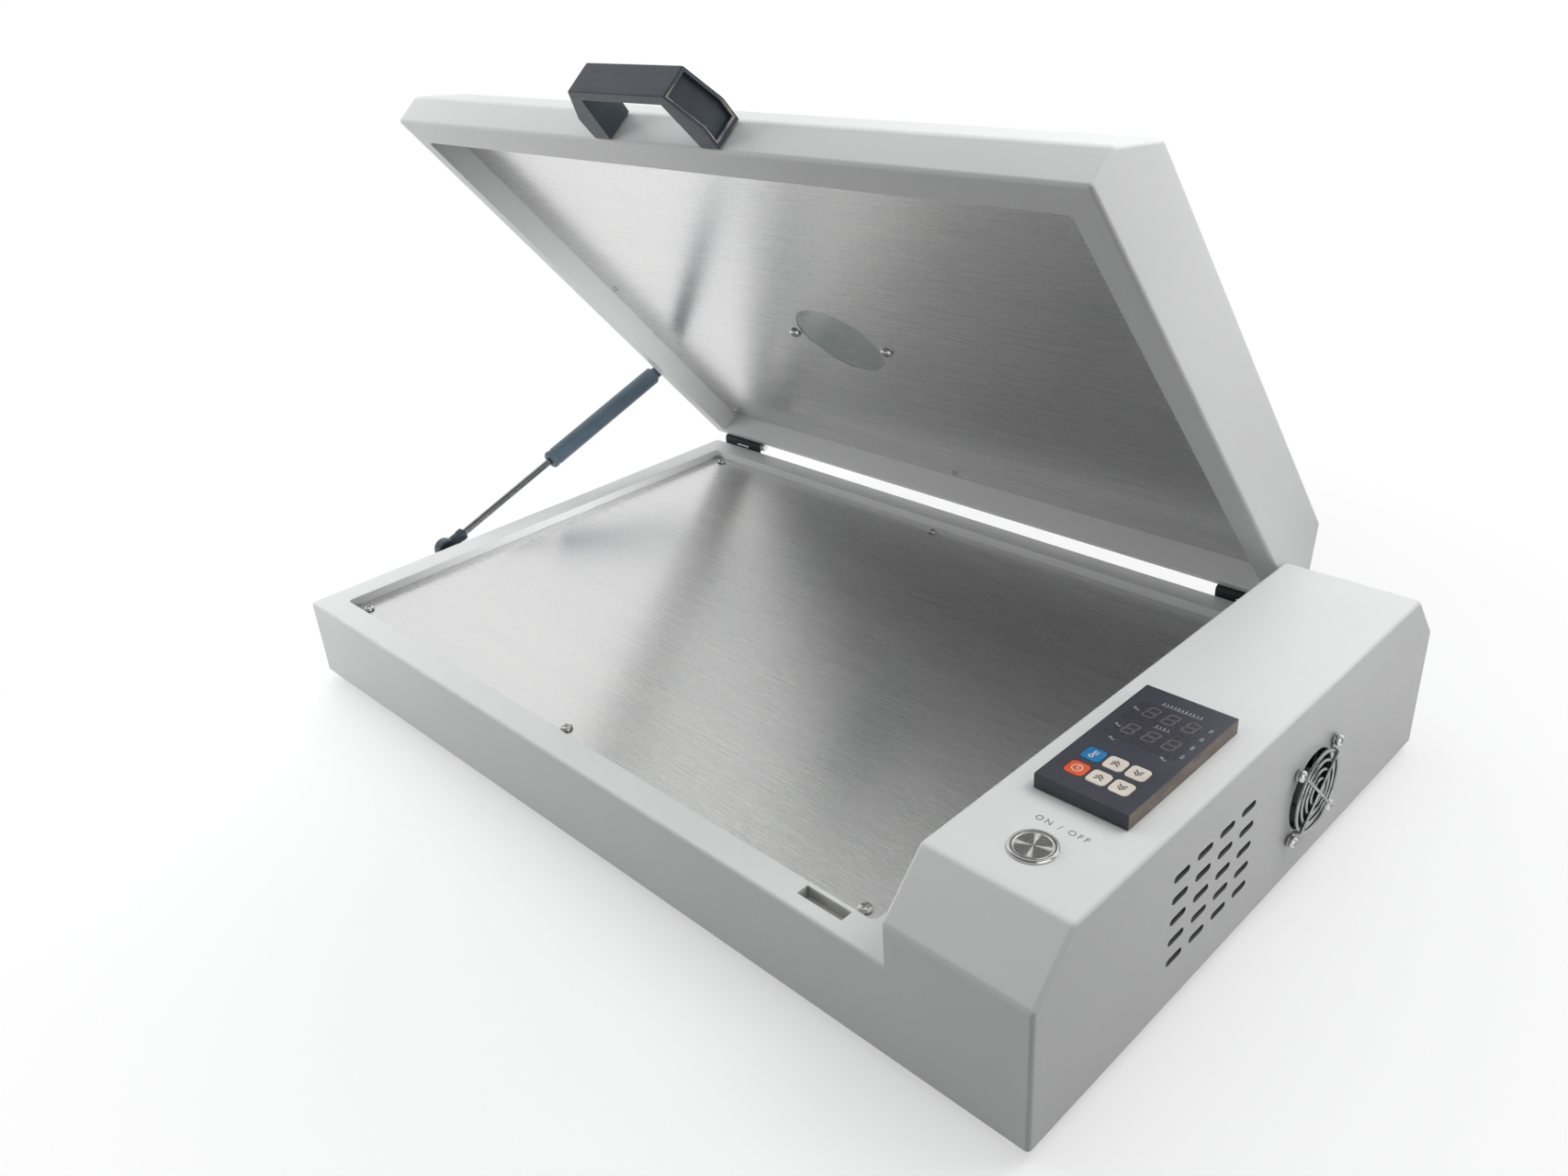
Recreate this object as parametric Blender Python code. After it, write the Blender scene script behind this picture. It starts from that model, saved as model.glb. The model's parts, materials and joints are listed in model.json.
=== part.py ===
"""Bench-top clam-shell reflow oven: a flat heated bed, a hinged heated lid on a gas strut,
and a control pod along the right side. Metres, +Z up, +Y towards the back, lid open at rest."""

import math

import bmesh
import bpy
from mathutils import Matrix, Vector

# Sheet-metal casing
BASE_WIDTH = 0.6034
BASE_DEPTH = 0.385
RIM_HEIGHT = 0.0537          # bed rim above the lower edge of the casing
TOP_HEIGHT = 0.1041          # pod and closed lid above the lower edge of the casing
POD_WIDTH = 0.0774
SLOPE_RUN = 0.0269           # front slope of pod and lid
SLOPE_DROP = 0.0272
REAR_RUN = 0.027             # rear slope of pod and lid
REAR_DROP = 0.0303
SHEET = 0.0015
BEND_RADIUS = 0.0022
BEND_STEPS = 3
RIM_FILLET = 0.001           # rounding of the rims of the bed and of the lid recess
RIM_STEPS = 2
FLANGE_WIDTH = 0.014         # return flange round the open underside
COVER_THICKNESS = 0.0012
COVER_INSET = 0.003
COVER_CORNER_RADIUS = 0.004
FOOT_HEIGHT = 0.006
FOOT_RADIUS = 0.009
FOOT_CHAMFER = 0.001
FOOT_INSET = 0.034

# Clearances
SEAT_GAP = 0.0003            # between pieces that touch
EDGE_GAP = 0.0005            # round a piece dropped into a frame
RUN_GAP = 0.0003             # round pins, rods and keys that move

# Heated bed
BED_SIDE_BORDER = 0.020
BED_END_BORDER = 0.0185
BED_RECESS = 0.0062          # rim down to the top of the bed plate
BED_CORNER_RADIUS = 0.003
LEDGE_WIDTH = 0.016
PLATE_THICKNESS = 0.0015
HEATER_THICKNESS = 0.003
HEATER_CORNER_RADIUS = 0.004
PLATE_SCREW_INSET_X = 0.0125
PLATE_SCREW_INSET_Y = 0.0075
SWITCH_SLOT_LENGTH = 0.028
SWITCH_SLOT_WIDTH = 0.0072
SWITCH_SLOT_FROM_FRONT = 0.0085
SWITCH_SLOT_FROM_POD = 0.031
SWITCH_DEPTH = 0.005         # lid switch below the rim sheet
SWITCH_HEIGHT = 0.014

# Lid
LID_OPEN_DEG = 49.5
LID_GAP = 0.0029             # closed lid above the bed rim
LID_SIDE_GAP = 0.0013        # lid to pod
LID_LEFT_BORDER = 0.0124
LID_FRONT_BORDER = 0.0198
LID_RIGHT_BORDER = 0.017
LID_BACK_BORDER = 0.0078
LID_RECESS = 0.0175          # lid rim up to the face of the lid plate
LID_CORNER_RADIUS = 0.003
DISC_OPENING_RADIUS = 0.0326  # round opening in the lid plate, with the disc behind it
DISC_FLANGE = 0.0115         # disc beyond the opening
DISC_THICKNESS = 0.0012
DISC_SCREW_REACH = 0.0403    # disc centre to each of its screws
DISC_LEFT_OF_MIDDLE = 0.0095
DISC_BEHIND_MIDDLE = 0.005
DISC_SIDES = 64

# Hinges
HINGE_BEHIND = 0.0045        # axis behind the back wall
HINGE_ABOVE_RIM = 0.0024
HINGE_LENGTH = 0.043
HINGE_FROM_SIDE = 0.0094     # hinge end to the side of the lid
KNUCKLE_RADIUS = 0.0032
KNUCKLE_GAP = 0.0004
PIN_RADIUS = 0.0016
LEAF_THICKNESS = 0.0018
LEAF_HEIGHT = 0.024
LEAF_SETBACK = 0.0044        # leaf edge from the hinge axis
PIN_HEAD_LENGTH = 0.0035
PIN_HEAD_EDGE = 0.0009

# Gas strut, outside the left wall
STRUT_STANDOFF = 0.013       # strut axis to the left wall
STRUT_FOOT_FROM_FRONT = 0.1147
STRUT_FOOT_BELOW_RIM = 0.0069
STRUT_HEAD_FROM_BACK = 0.0776
STRUT_HEAD_ABOVE_LID_RIM = 0.0182
TUBE_RADIUS = 0.0075
ROD_RADIUS = 0.003
TUBE_LENGTH = 0.1202
ROD_IN_TUBE = 0.040          # rod held in the tube when the lid is open
SOCKET_RADIUS = 0.0080
SOCKET_LENGTH = 0.011
SOCKET_NECK_RADIUS = 0.0048
SOCKET_REACH = 0.019         # joint centre to the end of the socket's neck
SOCKET_EDGE = 0.0012
TUBE_END = 0.006             # solid closed end of the tube
TUBE_ROUND = 0.0015          # rounding of the tube's ends
CRIMP_FROM_END = 0.004       # tube mouth to the rolled groove
CRIMP_WIDTH = 0.0026
CRIMP_DEPTH = 0.0005
STUD_RADIUS = 0.0034
STUD_DEPTH = 0.0078          # lower stud inside its socket
BRACKET_THICKNESS = 0.002
BRACKET_WIDTH = 0.017
BRACKET_HEIGHT = 0.034
BRACKET_EDGE = 0.0055        # stud centre to the near end of its bracket
BRACKET_CORNER = 0.0044

# Handle on the lid's front wall
HANDLE_FOOT_SPAN = 0.101
HANDLE_FOOT_LENGTH = 0.014
HANDLE_TOP_SPAN = 0.0765
HANDLE_HEIGHT = 0.036
HANDLE_SHOULDER = 0.015      # height at which the legs start to lean in
HANDLE_BAR = 0.0062
HANDLE_WIDTH = 0.0195
HANDLE_LEAN = 0.005          # lean of the inner side of each leg
HANDLE_LIP = 0.0022
HANDLE_POCKET = 0.003
HANDLE_POCKET_START = 0.0045  # pocket above the foot
HANDLE_POCKET_END = 0.0021   # pocket below the end of the leaning face
HANDLE_BEVEL = 0.0008
HANDLE_BEVEL_STEPS = 2

# Control pod
PANEL_WIDTH = 0.0477
PANEL_LENGTH = 0.0942
PANEL_HEIGHT = 0.0078
PANEL_FROM_FRONT = 0.0875
PANEL_BEVEL = 0.0005
PANEL_BEVEL_STEPS = 2
CASE_CLEARANCE = 0.0016      # controller case inside the panel outline, each side
CASE_DEPTH = 0.052
CASE_CORNER = 0.001
CUTOUT_GAP = 0.0004
KEY_WIDTH = 0.0098
KEY_LENGTH = 0.0098
KEY_PITCH_X = 0.0112
KEY_PITCH_Y = 0.0133
KEY_ROW_FROM_FRONT = 0.0147  # panel front edge to the first key row
KEY_HEIGHT = 0.0022
KEY_PROUD = 0.0003
KEY_WELL = 0.0030
KEY_CORNER = 0.0022
DISPLAY_WIDTH = 0.036
DISPLAY_LENGTH = 0.034
DISPLAY_FROM_BACK = 0.014
DISPLAY_THICKNESS = 0.0012
DISPLAY_CORNER = 0.001
BUTTON_FROM_FRONT = 0.0536
BUTTON_FLANGE_RADIUS = 0.0110
BUTTON_FLANGE_HEIGHT = 0.0013
BUTTON_FLANGE_SLOPE = 0.0008  # bevel round the flange
BUTTON_MOUTH_SLOPE = 0.0003  # bevel round the cap's bore
BUTTON_BARREL_RADIUS = 0.0100
BUTTON_BARREL_LENGTH = 0.022
BUTTON_CAP_RADIUS = 0.0092
BUTTON_CAP_HEIGHT = 0.006
BUTTON_CAP_EDGE = 0.0006
BUTTON_CAP_RIM = 0.0010      # flat rim round the dished face
BUTTON_CAP_DISH = 0.0003
BUTTON_TRAVEL = 0.002
BUTTON_NUT_RADIUS = 0.013
BUTTON_NUT_HEIGHT = 0.003

# Cooling fan and vents in the right wall
FAN_FROM_FRONT = 0.241
FAN_HEIGHT = 0.0457          # above the lower edge of the casing
FAN_SIZE = 0.050
FAN_DEPTH = 0.015
FAN_SCREW_PITCH = 0.0405
FAN_BORE_RADIUS = 0.0225
FAN_HUB_RADIUS = 0.010
FAN_CORNER = 0.004
FAN_SPOKE_DEPTH = 0.003
FAN_SPOKE_WIDTH = 0.003
FAN_BLADES = 7
FAN_BLADE_THICKNESS = 0.0012
FAN_BLADE_CHORD_DEG = 40.0
FAN_BLADE_SWEEP_DEG = 14.0
FAN_BLADE_STATIONS = 4
FAN_BLADE_INSET = 0.001      # blade inside each end of the hub
FAN_BLADE_GAP = 0.0012
FAN_SHAFT_RADIUS = 0.0015
FAN_BOSS_RADIUS = 0.004
FAN_BOSS_PROUD = 0.0008      # bearing boss above the spokes
FAN_BEARING_WALL = 0.0012    # closed end of the bearing
FAN_HUB_RECESS = 0.001       # hub inside the frame's outer face
FAN_HUB_EDGE = 0.001
GUARD_WIRE_RADIUS = 0.0009
GUARD_RINGS = 4
GUARD_RING_STEPS = 24
GUARD_SECOND_WIRE = 1.02     # second crossed wire, as a share of the first one's radius
GUARD_WELD = 0.0011          # crossed wires in front of the rings they are welded to
GUARD_RING_PITCH = 0.0050
GUARD_OUTER_RADIUS = 0.0222
GUARD_STANDOFF = 0.0026
GUARD_EYE_RADIUS = 0.0034
VENT_COLUMNS = 4
VENT_ROWS = 5
VENT_PITCH_Y = 0.0200
VENT_PITCH_Z = 0.0120
VENT_LENGTH = 0.0137
VENT_WIDTH = 0.0040
VENT_CENTRE_FROM_FRONT = 0.1401
VENT_CENTRE_HEIGHT = 0.0509

# Mains inlet in the pod's back wall
INLET_WIDTH = 0.050
INLET_HEIGHT = 0.028
INLET_FLANGE = 0.003
INLET_FLANGE_CORNER = 0.006
INLET_BODY_CORNER = 0.002
INLET_BODY_WIDTH = 0.030
INLET_BODY_HEIGHT = 0.023
INLET_BODY_DEPTH = 0.020
INLET_MOUTH_WIDTH = 0.0245
INLET_MOUTH_HEIGHT = 0.0170
INLET_MOUTH_DEPTH = 0.0165
INLET_MOUTH_CHAMFER = 0.005
INLET_PIN_LENGTH = 0.0105
INLET_PIN_WIDTH = 0.002
INLET_PIN_HEIGHT = 0.004
INLET_PIN_ROOT = 0.001       # pin inside the floor of the mouth
INLET_PIN_PITCH = 0.007
INLET_PIN_RISE = 0.002
INLET_CENTRE_HEIGHT = 0.036

# Electronics inside the pod
BOARD_WIDTH = 0.034
BOARD_LENGTH = 0.080
BOARD_THICKNESS = 0.0016
BOARD_FROM_BACK = 0.180
STANDOFF_HEIGHT = 0.010
STANDOFF_RADIUS = 0.003
STANDOFF_INSET = 0.005
SOLDER_SINK = 0.0004         # board pieces into the board they are soldered to
TRANSFORMER = (0.012, 0.022, 0.016)
DRIVER = (0.011, 0.012, 0.009)
PIECES_FROM_END = 0.012      # both pieces from the board's front end
CAPACITORS = 3
CAPACITOR_RADIUS = 0.0032
CAPACITOR_HEIGHT = 0.012
CAPACITOR_PITCH = 0.0085
CAPACITOR_FROM_END = 0.056
RELAY_WIDTH = 0.044
RELAY_LENGTH = 0.058
RELAY_HEIGHT = 0.023
RELAY_FROM_FRONT = 0.100
TERMINAL_WIDTH = 0.044
TERMINAL_LENGTH = 0.022
TERMINAL_HEIGHT = 0.018
TERMINAL_FROM_BACK = 0.067
TERMINAL_POLES = 5
TERMINAL_WALL = 0.0013
TERMINAL_POCKET = 0.007

# Fasteners: head radius, head height, shank radius, shank length
PLATE_SCREW = (0.0036, 0.0020, 0.0015, 0.0040)
FAN_SCREW = (0.0032, 0.0022, 0.0014, 0.0100)
HEAD_SIDE = 0.4              # upright side of a screw head, as a share of its height
HEAD_SHOULDER = (0.78, 0.86)  # shoulder of its dome, as shares of radius and height
HEAD_CROWN = 0.4             # flat crown, as a share of its radius
CROSS_ARM = 0.62             # cross recess, as shares of the head's radius
CROSS_HALF_WIDTH = 0.14
CROSS_FLOOR = 0.45           # floor of the recess, as a share of the head's height
HOLE_GAP = 0.0004            # shank to hole, all round

# Facets on round shapes
SMALL_SIDES = 12
ROUND_SIDES = 20
LARGE_SIDES = 32
WIRE_SIDES = 6
CORNER_STEPS = 4
SLOT_STEPS = 4
TOLERANCE = 1e-6

# Levels and edges worked out from the sizes above
COVER_TOP = FOOT_HEIGHT + COVER_THICKNESS
BASE_Z = COVER_TOP + SEAT_GAP
RIM_Z = BASE_Z + RIM_HEIGHT
TOP_Z = BASE_Z + TOP_HEIGHT
LID_Z = RIM_Z + LID_GAP
LEFT = -BASE_WIDTH / 2
RIGHT = BASE_WIDTH / 2
FRONT = -BASE_DEPTH / 2
BACK = BASE_DEPTH / 2
POD_LEFT = RIGHT - POD_WIDTH
POD_MID = RIGHT - POD_WIDTH / 2
LID_RIGHT = POD_LEFT - LID_SIDE_GAP
LID_MID = (LEFT + LID_RIGHT) / 2
HINGE = Vector((LID_MID, BACK + HINGE_BEHIND, RIM_Z + HINGE_ABOVE_RIM))
BED_TOP = RIM_Z - BED_RECESS
LEDGE_Z = BED_TOP - PLATE_THICKNESS - SEAT_GAP
LID_PLATE_Z = LID_Z + LID_RECESS
LID_LEDGE_Z = LID_PLATE_Z + PLATE_THICKNESS + SEAT_GAP
LID_OPEN = math.radians(LID_OPEN_DEG)
BED_AREA = (
    LEFT + BED_SIDE_BORDER,
    POD_LEFT - BED_SIDE_BORDER,
    FRONT + BED_END_BORDER,
    BACK - BED_END_BORDER,
)
LID_AREA = (
    LEFT + LID_LEFT_BORDER,
    LID_RIGHT - LID_RIGHT_BORDER,
    FRONT + LID_FRONT_BORDER,
    BACK - LID_BACK_BORDER,
)
STRUT_X = LEFT - STRUT_STANDOFF
PANEL_BACK = FRONT + PANEL_FROM_FRONT + PANEL_LENGTH
PANEL_TOP = TOP_Z + SEAT_GAP + PANEL_HEIGHT
FAN_CENTRE = Vector((RIGHT - SHEET - SEAT_GAP - FAN_DEPTH / 2, FRONT + FAN_FROM_FRONT, BASE_Z + FAN_HEIGHT))
INLET_CENTRE = Vector((POD_MID, BACK, BASE_Z + INLET_CENTRE_HEIGHT))
BUTTON_CENTRE = Vector((POD_MID, FRONT + BUTTON_FROM_FRONT, TOP_Z + SEAT_GAP + BUTTON_FLANGE_HEIGHT))
AXES = {"X": Vector((1, 0, 0)), "Y": Vector((0, 1, 0)), "Z": Vector((0, 0, 1))}


# Materials

def material(name, colour, roughness, metallic):
    mat = bpy.data.materials.new(name)
    mat.use_nodes = True
    shader = mat.node_tree.nodes["Principled BSDF"]
    shader.inputs["Base Color"].default_value = (*colour, 1.0)
    shader.inputs["Roughness"].default_value = roughness
    shader.inputs["Metallic"].default_value = metallic
    return mat


def make_materials():
    return {
        "coat": material("powder_coat", (0.66, 0.68, 0.67), 0.35, 0.0),
        "stainless": material("brushed_stainless", (0.62, 0.62, 0.61), 0.28, 1.0),
        "zinc": material("zinc_plated_sheet", (0.60, 0.61, 0.62), 0.40, 1.0),
        "chrome": material("chrome", (0.80, 0.80, 0.80), 0.12, 1.0),
        "slate": material("slate_plastic", (0.055, 0.065, 0.078), 0.45, 0.0),
        "strut": material("strut_paint", (0.06, 0.085, 0.11), 0.35, 0.0),
        "hinge": material("black_hinge", (0.02, 0.03, 0.03), 0.40, 0.0),
        "black": material("black_plastic", (0.02, 0.022, 0.03), 0.40, 0.0),
        "rubber": material("rubber", (0.02, 0.02, 0.02), 0.80, 0.0),
        "blue": material("blue_key", (0.02, 0.22, 0.42), 0.45, 0.0),
        "red": material("red_key", (0.60, 0.10, 0.04), 0.45, 0.0),
        "cream": material("cream_key", (0.72, 0.69, 0.62), 0.45, 0.0),
        "heater": material("heater_mat", (0.45, 0.12, 0.06), 0.60, 0.0),
        "wool": material("insulation_wool", (0.72, 0.66, 0.45), 0.95, 0.0),
        "board": material("circuit_board", (0.02, 0.20, 0.09), 0.50, 0.0),
    }


# Mesh building

def place(axis, a, b, c):
    """A point from two in-plane values and one along the axis."""
    if axis == "X":
        return Vector((c, a, b))
    if axis == "Y":
        return Vector((a, c, b))
    return Vector((a, b, c))


def prism(bm, points, axis, low, high):
    """A closed prism over a 2-D outline. The outline is YZ, XZ or XY for X, Y or Z."""
    lower = [bm.verts.new(place(axis, a, b, low)) for a, b in points]
    upper = [bm.verts.new(place(axis, a, b, high)) for a, b in points]
    faces = [bm.faces.new(lower), bm.faces.new(upper)]
    for i in range(len(points)):
        faces.append(bm.faces.new((lower[i - 1], lower[i], upper[i], upper[i - 1])))
    bmesh.ops.recalc_face_normals(bm, faces=faces)
    return faces


def box(bm, x_low, x_high, y_low, y_high, z_low, z_high):
    outline = [(x_low, y_low), (x_high, y_low), (x_high, y_high), (x_low, y_high)]
    return prism(bm, outline, "Z", z_low, z_high)


def circle(a, b, radius, sides):
    turn = math.tau / sides
    return [(a + radius * math.cos(i * turn), b + radius * math.sin(i * turn)) for i in range(sides)]


def rounded_rectangle(a_low, a_high, b_low, b_high, radius):
    corners = [
        (a_high - radius, b_high - radius, 0.0),
        (a_low + radius, b_high - radius, 0.25),
        (a_low + radius, b_low + radius, 0.5),
        (a_high - radius, b_low + radius, 0.75),
    ]
    points = []
    for a, b, start in corners:
        for i in range(CORNER_STEPS + 1):
            angle = math.tau * (start + 0.25 * i / CORNER_STEPS)
            points.append((a + radius * math.cos(angle), b + radius * math.sin(angle)))
    return points


def slot_outline(a, b, length, width):
    """A slot with round ends, long in its first direction."""
    points = []
    for way in (1, -1):
        for i in range(SLOT_STEPS + 1):
            angle = math.pi * (i / SLOT_STEPS - 0.5)
            along = (length - width) / 2 + width / 2 * math.cos(angle)
            points.append((a + way * along, b + way * width / 2 * math.sin(angle)))
    return points


def round_section(bm, centre, side, other, radius, sides):
    """A ring of points round a centre, or a single point where the radius is zero."""
    if radius == 0.0:
        return [bm.verts.new(centre)]
    return [bm.verts.new(centre + side * a + other * b) for a, b in circle(0.0, 0.0, radius, sides)]


def join_sections(bm, first, second):
    """Faces between two rings of points, one of which may be a single point."""
    faces = []
    for i in range(max(len(first), len(second))):
        if len(first) == 1:
            corners = (first[0], second[i], second[i - 1])
        elif len(second) == 1:
            corners = (first[i - 1], first[i], second[0])
        else:
            corners = (first[i - 1], first[i], second[i], second[i - 1])
        faces.append(bm.faces.new(corners))
    return faces


def across(direction):
    """A unit direction with two more square to it."""
    along = Vector(direction).normalized()
    side = along.orthogonal().normalized()
    return along, side, along.cross(side)


def turned(bm, start, direction, profile, sides):
    """A closed body turned about a line: (radius, distance) pairs, zero radius at both ends."""
    along, side, other = across(direction)
    sections = []
    for radius, distance in profile:
        sections.append(round_section(bm, Vector(start) + along * distance, side, other, radius, sides))
    faces = []
    for first, second in zip(sections, sections[1:]):
        faces += join_sections(bm, first, second)
    bmesh.ops.recalc_face_normals(bm, faces=faces)


def cylinder(bm, start, direction, radius, length, sides):
    turned(bm, start, direction, [(0.0, 0.0), (radius, 0.0), (radius, length), (0.0, length)], sides)


def hollow_cylinder(bm, start, direction, inner, outer, length, sides):
    along, side, other = across(direction)
    sections = []
    for radius, distance in ((inner, 0.0), (outer, 0.0), (outer, length), (inner, length)):
        sections.append(round_section(bm, Vector(start) + along * distance, side, other, radius, sides))
    faces = []
    for k in range(len(sections)):
        faces += join_sections(bm, sections[k - 1], sections[k])
    bmesh.ops.recalc_face_normals(bm, faces=faces)


def wire_ring(bm, centre, radius, wire_radius):
    """A wire ring square to X."""
    sections = []
    for a, b in circle(0.0, 0.0, 1.0, GUARD_RING_STEPS):
        outward = Vector((0.0, a, b))
        middle = centre + outward * radius
        sections.append(round_section(bm, middle, outward, AXES["X"], wire_radius, WIRE_SIDES))
    faces = []
    for k in range(len(sections)):
        faces += join_sections(bm, sections[k - 1], sections[k])
    bmesh.ops.recalc_face_normals(bm, faces=faces)


def wire(bm, points, radius):
    """A round wire along a line of points, closed at both ends."""
    sections = []
    side = across(points[1] - points[0])[1]
    for i, point in enumerate(points):
        before = points[max(i - 1, 0)]
        after = points[min(i + 1, len(points) - 1)]
        along = (after - before).normalized()
        side = (side - along * side.dot(along)).normalized()
        sections.append(round_section(bm, point, side, along.cross(side), radius, WIRE_SIDES))
    faces = [bm.faces.new(sections[0]), bm.faces.new(sections[-1])]
    for first, second in zip(sections, sections[1:]):
        faces += join_sections(bm, first, second)
    bmesh.ops.recalc_face_normals(bm, faces=faces)


def boolean(body, tool, operation="DIFFERENCE"):
    """Cut the tool from the body, or join it to the body, and keep the result in the body."""
    meshes = []
    objects = []
    for source in (body, tool):
        mesh = bpy.data.meshes.new("working")
        source.to_mesh(mesh)
        item = bpy.data.objects.new("working", mesh)
        bpy.context.scene.collection.objects.link(item)
        meshes.append(mesh)
        objects.append(item)
    modifier = objects[0].modifiers.new("boolean", "BOOLEAN")
    modifier.operation = operation
    modifier.solver = "EXACT"
    modifier.object = objects[1]
    bpy.context.view_layer.update()
    depsgraph = bpy.context.evaluated_depsgraph_get()
    result = bpy.data.meshes.new_from_object(objects[0].evaluated_get(depsgraph))
    body.clear()
    body.from_mesh(result)
    for item in objects:
        bpy.data.objects.remove(item)
    for mesh in meshes + [result]:
        bpy.data.meshes.remove(mesh)
    tool.free()
    return body


def bevel_edges(bm, keep, width, steps):
    """Round the edges for which keep(first point, second point) is true."""
    edges = [e for e in bm.edges if keep(e.verts[0].co, e.verts[1].co)]
    bmesh.ops.bevel(
        bm, geom=edges, offset=width, offset_type="OFFSET", segments=steps, profile=0.5, affect="EDGES",
        clamp_overlap=True,
    )


def near(a, b):
    return abs(a - b) < TOLERANCE


def rim_of(area, level):
    """A test for the edges round an opening at this level."""
    x_low, x_high, y_low, y_high = grown(area, TOLERANCE)

    def on_rim(a, b):
        inside = all(x_low <= p.x <= x_high and y_low <= p.y <= y_high for p in (a, b))
        return inside and near(a.z, level) and near(b.z, level)

    return on_rim


# Objects

def add_empty(name, parent, location, turn_x=0.0):
    empty = bpy.data.objects.new(name, None)
    bpy.context.scene.collection.objects.link(empty)
    empty.parent = parent
    empty.location = location
    empty.rotation_euler = (turn_x, 0.0, 0.0)
    return empty


def add_node(name, bm, mat, parent, origin=(0.0, 0.0, 0.0), at=None, smooth_deg=35.0):
    """One physical piece. Its mesh is moved so that its origin lies at the given point."""
    origin = Vector(origin)
    bmesh.ops.translate(bm, verts=bm.verts, vec=-origin)
    mesh = bpy.data.meshes.new(name)
    bm.to_mesh(mesh)
    bm.free()
    mesh.materials.append(mat)
    mesh.shade_smooth()
    mesh.set_sharp_from_angle(angle=math.radians(smooth_deg))
    node = bpy.data.objects.new(name, mesh)
    bpy.context.scene.collection.objects.link(node)
    node.parent = parent
    node.location = origin if at is None else at
    return node


# Fasteners

def screw(bm, seat, direction, size, shank=None):
    """A pan-head screw. The direction points out of the head, and seat is under the head."""
    head_radius, head_height, shank_radius, shank_length = size
    shank_length = shank_length if shank is None else shank
    profile = [
        (0.0, -shank_length),
        (shank_radius, -shank_length),
        (shank_radius, 0.0),
        (head_radius, 0.0),
        (head_radius, head_height * HEAD_SIDE),
        (head_radius * HEAD_SHOULDER[0], head_height * HEAD_SHOULDER[1]),
        (head_radius * HEAD_CROWN, head_height),
        (0.0, head_height),
    ]
    turned(bm, seat, direction, profile, SMALL_SIDES)


def cross_recess(bm, seat, direction, size):
    """The cross cut in a screw head."""
    head_radius, head_height = size[:2]
    arm = head_radius * CROSS_ARM
    half = head_radius * CROSS_HALF_WIDTH
    along, side, other = across(direction)
    outline = [
        (arm, -half), (arm, half), (half, half), (half, arm), (-half, arm), (-half, half),
        (-arm, half), (-arm, -half), (-half, -half), (-half, -arm), (half, -arm), (half, -half),
    ]
    sections = []
    for depth in (head_height * CROSS_FLOOR, head_height * 2):
        centre = Vector(seat) + along * depth
        sections.append([bm.verts.new(centre + side * a + other * b) for a, b in outline])
    faces = [bm.faces.new(section) for section in sections] + join_sections(bm, *sections)
    bmesh.ops.recalc_face_normals(bm, faces=faces)


def add_screws(name, seats, direction, size, mat, parent, origin=(0.0, 0.0, 0.0), at=None, shank=None):
    """One node for each screw of a set."""
    for number, seat in enumerate(seats, start=1):
        bm = bmesh.new()
        cuts = bmesh.new()
        screw(bm, seat, direction, size, shank)
        cross_recess(cuts, seat, direction, size)
        add_node(f"{name}_{number}", boolean(bm, cuts), mat, parent, origin, at)


def screw_holes(bm, seats, direction, size, depth):
    """Clearance holes for a set of screws, from one depth outside to one depth inside the seat."""
    direction = Vector(direction).normalized()
    for seat in seats:
        cylinder(bm, Vector(seat) - direction * depth, direction, size[2] + HOLE_GAP, 2 * depth, SMALL_SIDES)


# Casing shapes

def slice_slopes(bm, inset):
    """Cut the sloped front and back of the pod and the lid, this far inside their outer faces."""
    slopes = [
        (Vector((0, FRONT, TOP_Z - SLOPE_DROP)), Vector((0, -SLOPE_DROP, SLOPE_RUN)).normalized()),
        (Vector((0, BACK, TOP_Z - REAR_DROP)), Vector((0, REAR_DROP, REAR_RUN)).normalized()),
    ]
    for point, normal in slopes:
        geometry = bm.verts[:] + bm.edges[:] + bm.faces[:]
        bmesh.ops.bisect_plane(
            bm, geom=geometry, plane_co=point - normal * inset, plane_no=normal, clear_outer=True, dist=1e-7
        )
        bmesh.ops.holes_fill(bm, edges=[e for e in bm.edges if e.is_boundary])
    bmesh.ops.recalc_face_normals(bm, faces=bm.faces)


def base_solid(inset, z_low):
    """The casing's solid outline with its raised pod, this far inside the outer faces."""
    bm = bmesh.new()
    outline = [
        (LEFT + inset, z_low),
        (RIGHT - inset, z_low),
        (RIGHT - inset, TOP_Z - inset),
        (POD_LEFT + inset, TOP_Z - inset),
        (POD_LEFT + inset, RIM_Z - inset),
        (LEFT + inset, RIM_Z - inset),
    ]
    prism(bm, outline, "Y", FRONT + inset, BACK - inset)
    slice_slopes(bm, inset)
    return bm


def lid_solid(inset, z_low):
    bm = bmesh.new()
    box(bm, LEFT + inset, LID_RIGHT - inset, FRONT + inset, BACK - inset, z_low, TOP_Z - inset)
    slice_slopes(bm, inset)
    return bm


def grown(area, amount):
    return (area[0] - amount, area[1] + amount, area[2] - amount, area[3] + amount)


def area_prism(bm, area, radius, z_low, z_high):
    outline = rounded_rectangle(*area, radius) if radius > 0.0 else [
        (area[0], area[2]), (area[1], area[2]), (area[1], area[3]), (area[0], area[3])
    ]
    prism(bm, outline, "Z", z_low, z_high)


def one_area(area, radius, z_low, z_high):
    bm = bmesh.new()
    area_prism(bm, area, radius, z_low, z_high)
    return bm


# Places of repeated pieces

def bed_screw_places():
    x_low, x_high, y_low, y_high = BED_AREA
    columns = (x_low + PLATE_SCREW_INSET_X, (x_low + x_high) / 2, x_high - PLATE_SCREW_INSET_X)
    rows = (y_low + PLATE_SCREW_INSET_Y, y_high - PLATE_SCREW_INSET_Y)
    return [Vector((x, y, BED_TOP + SEAT_GAP)) for y in rows for x in columns]


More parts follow.
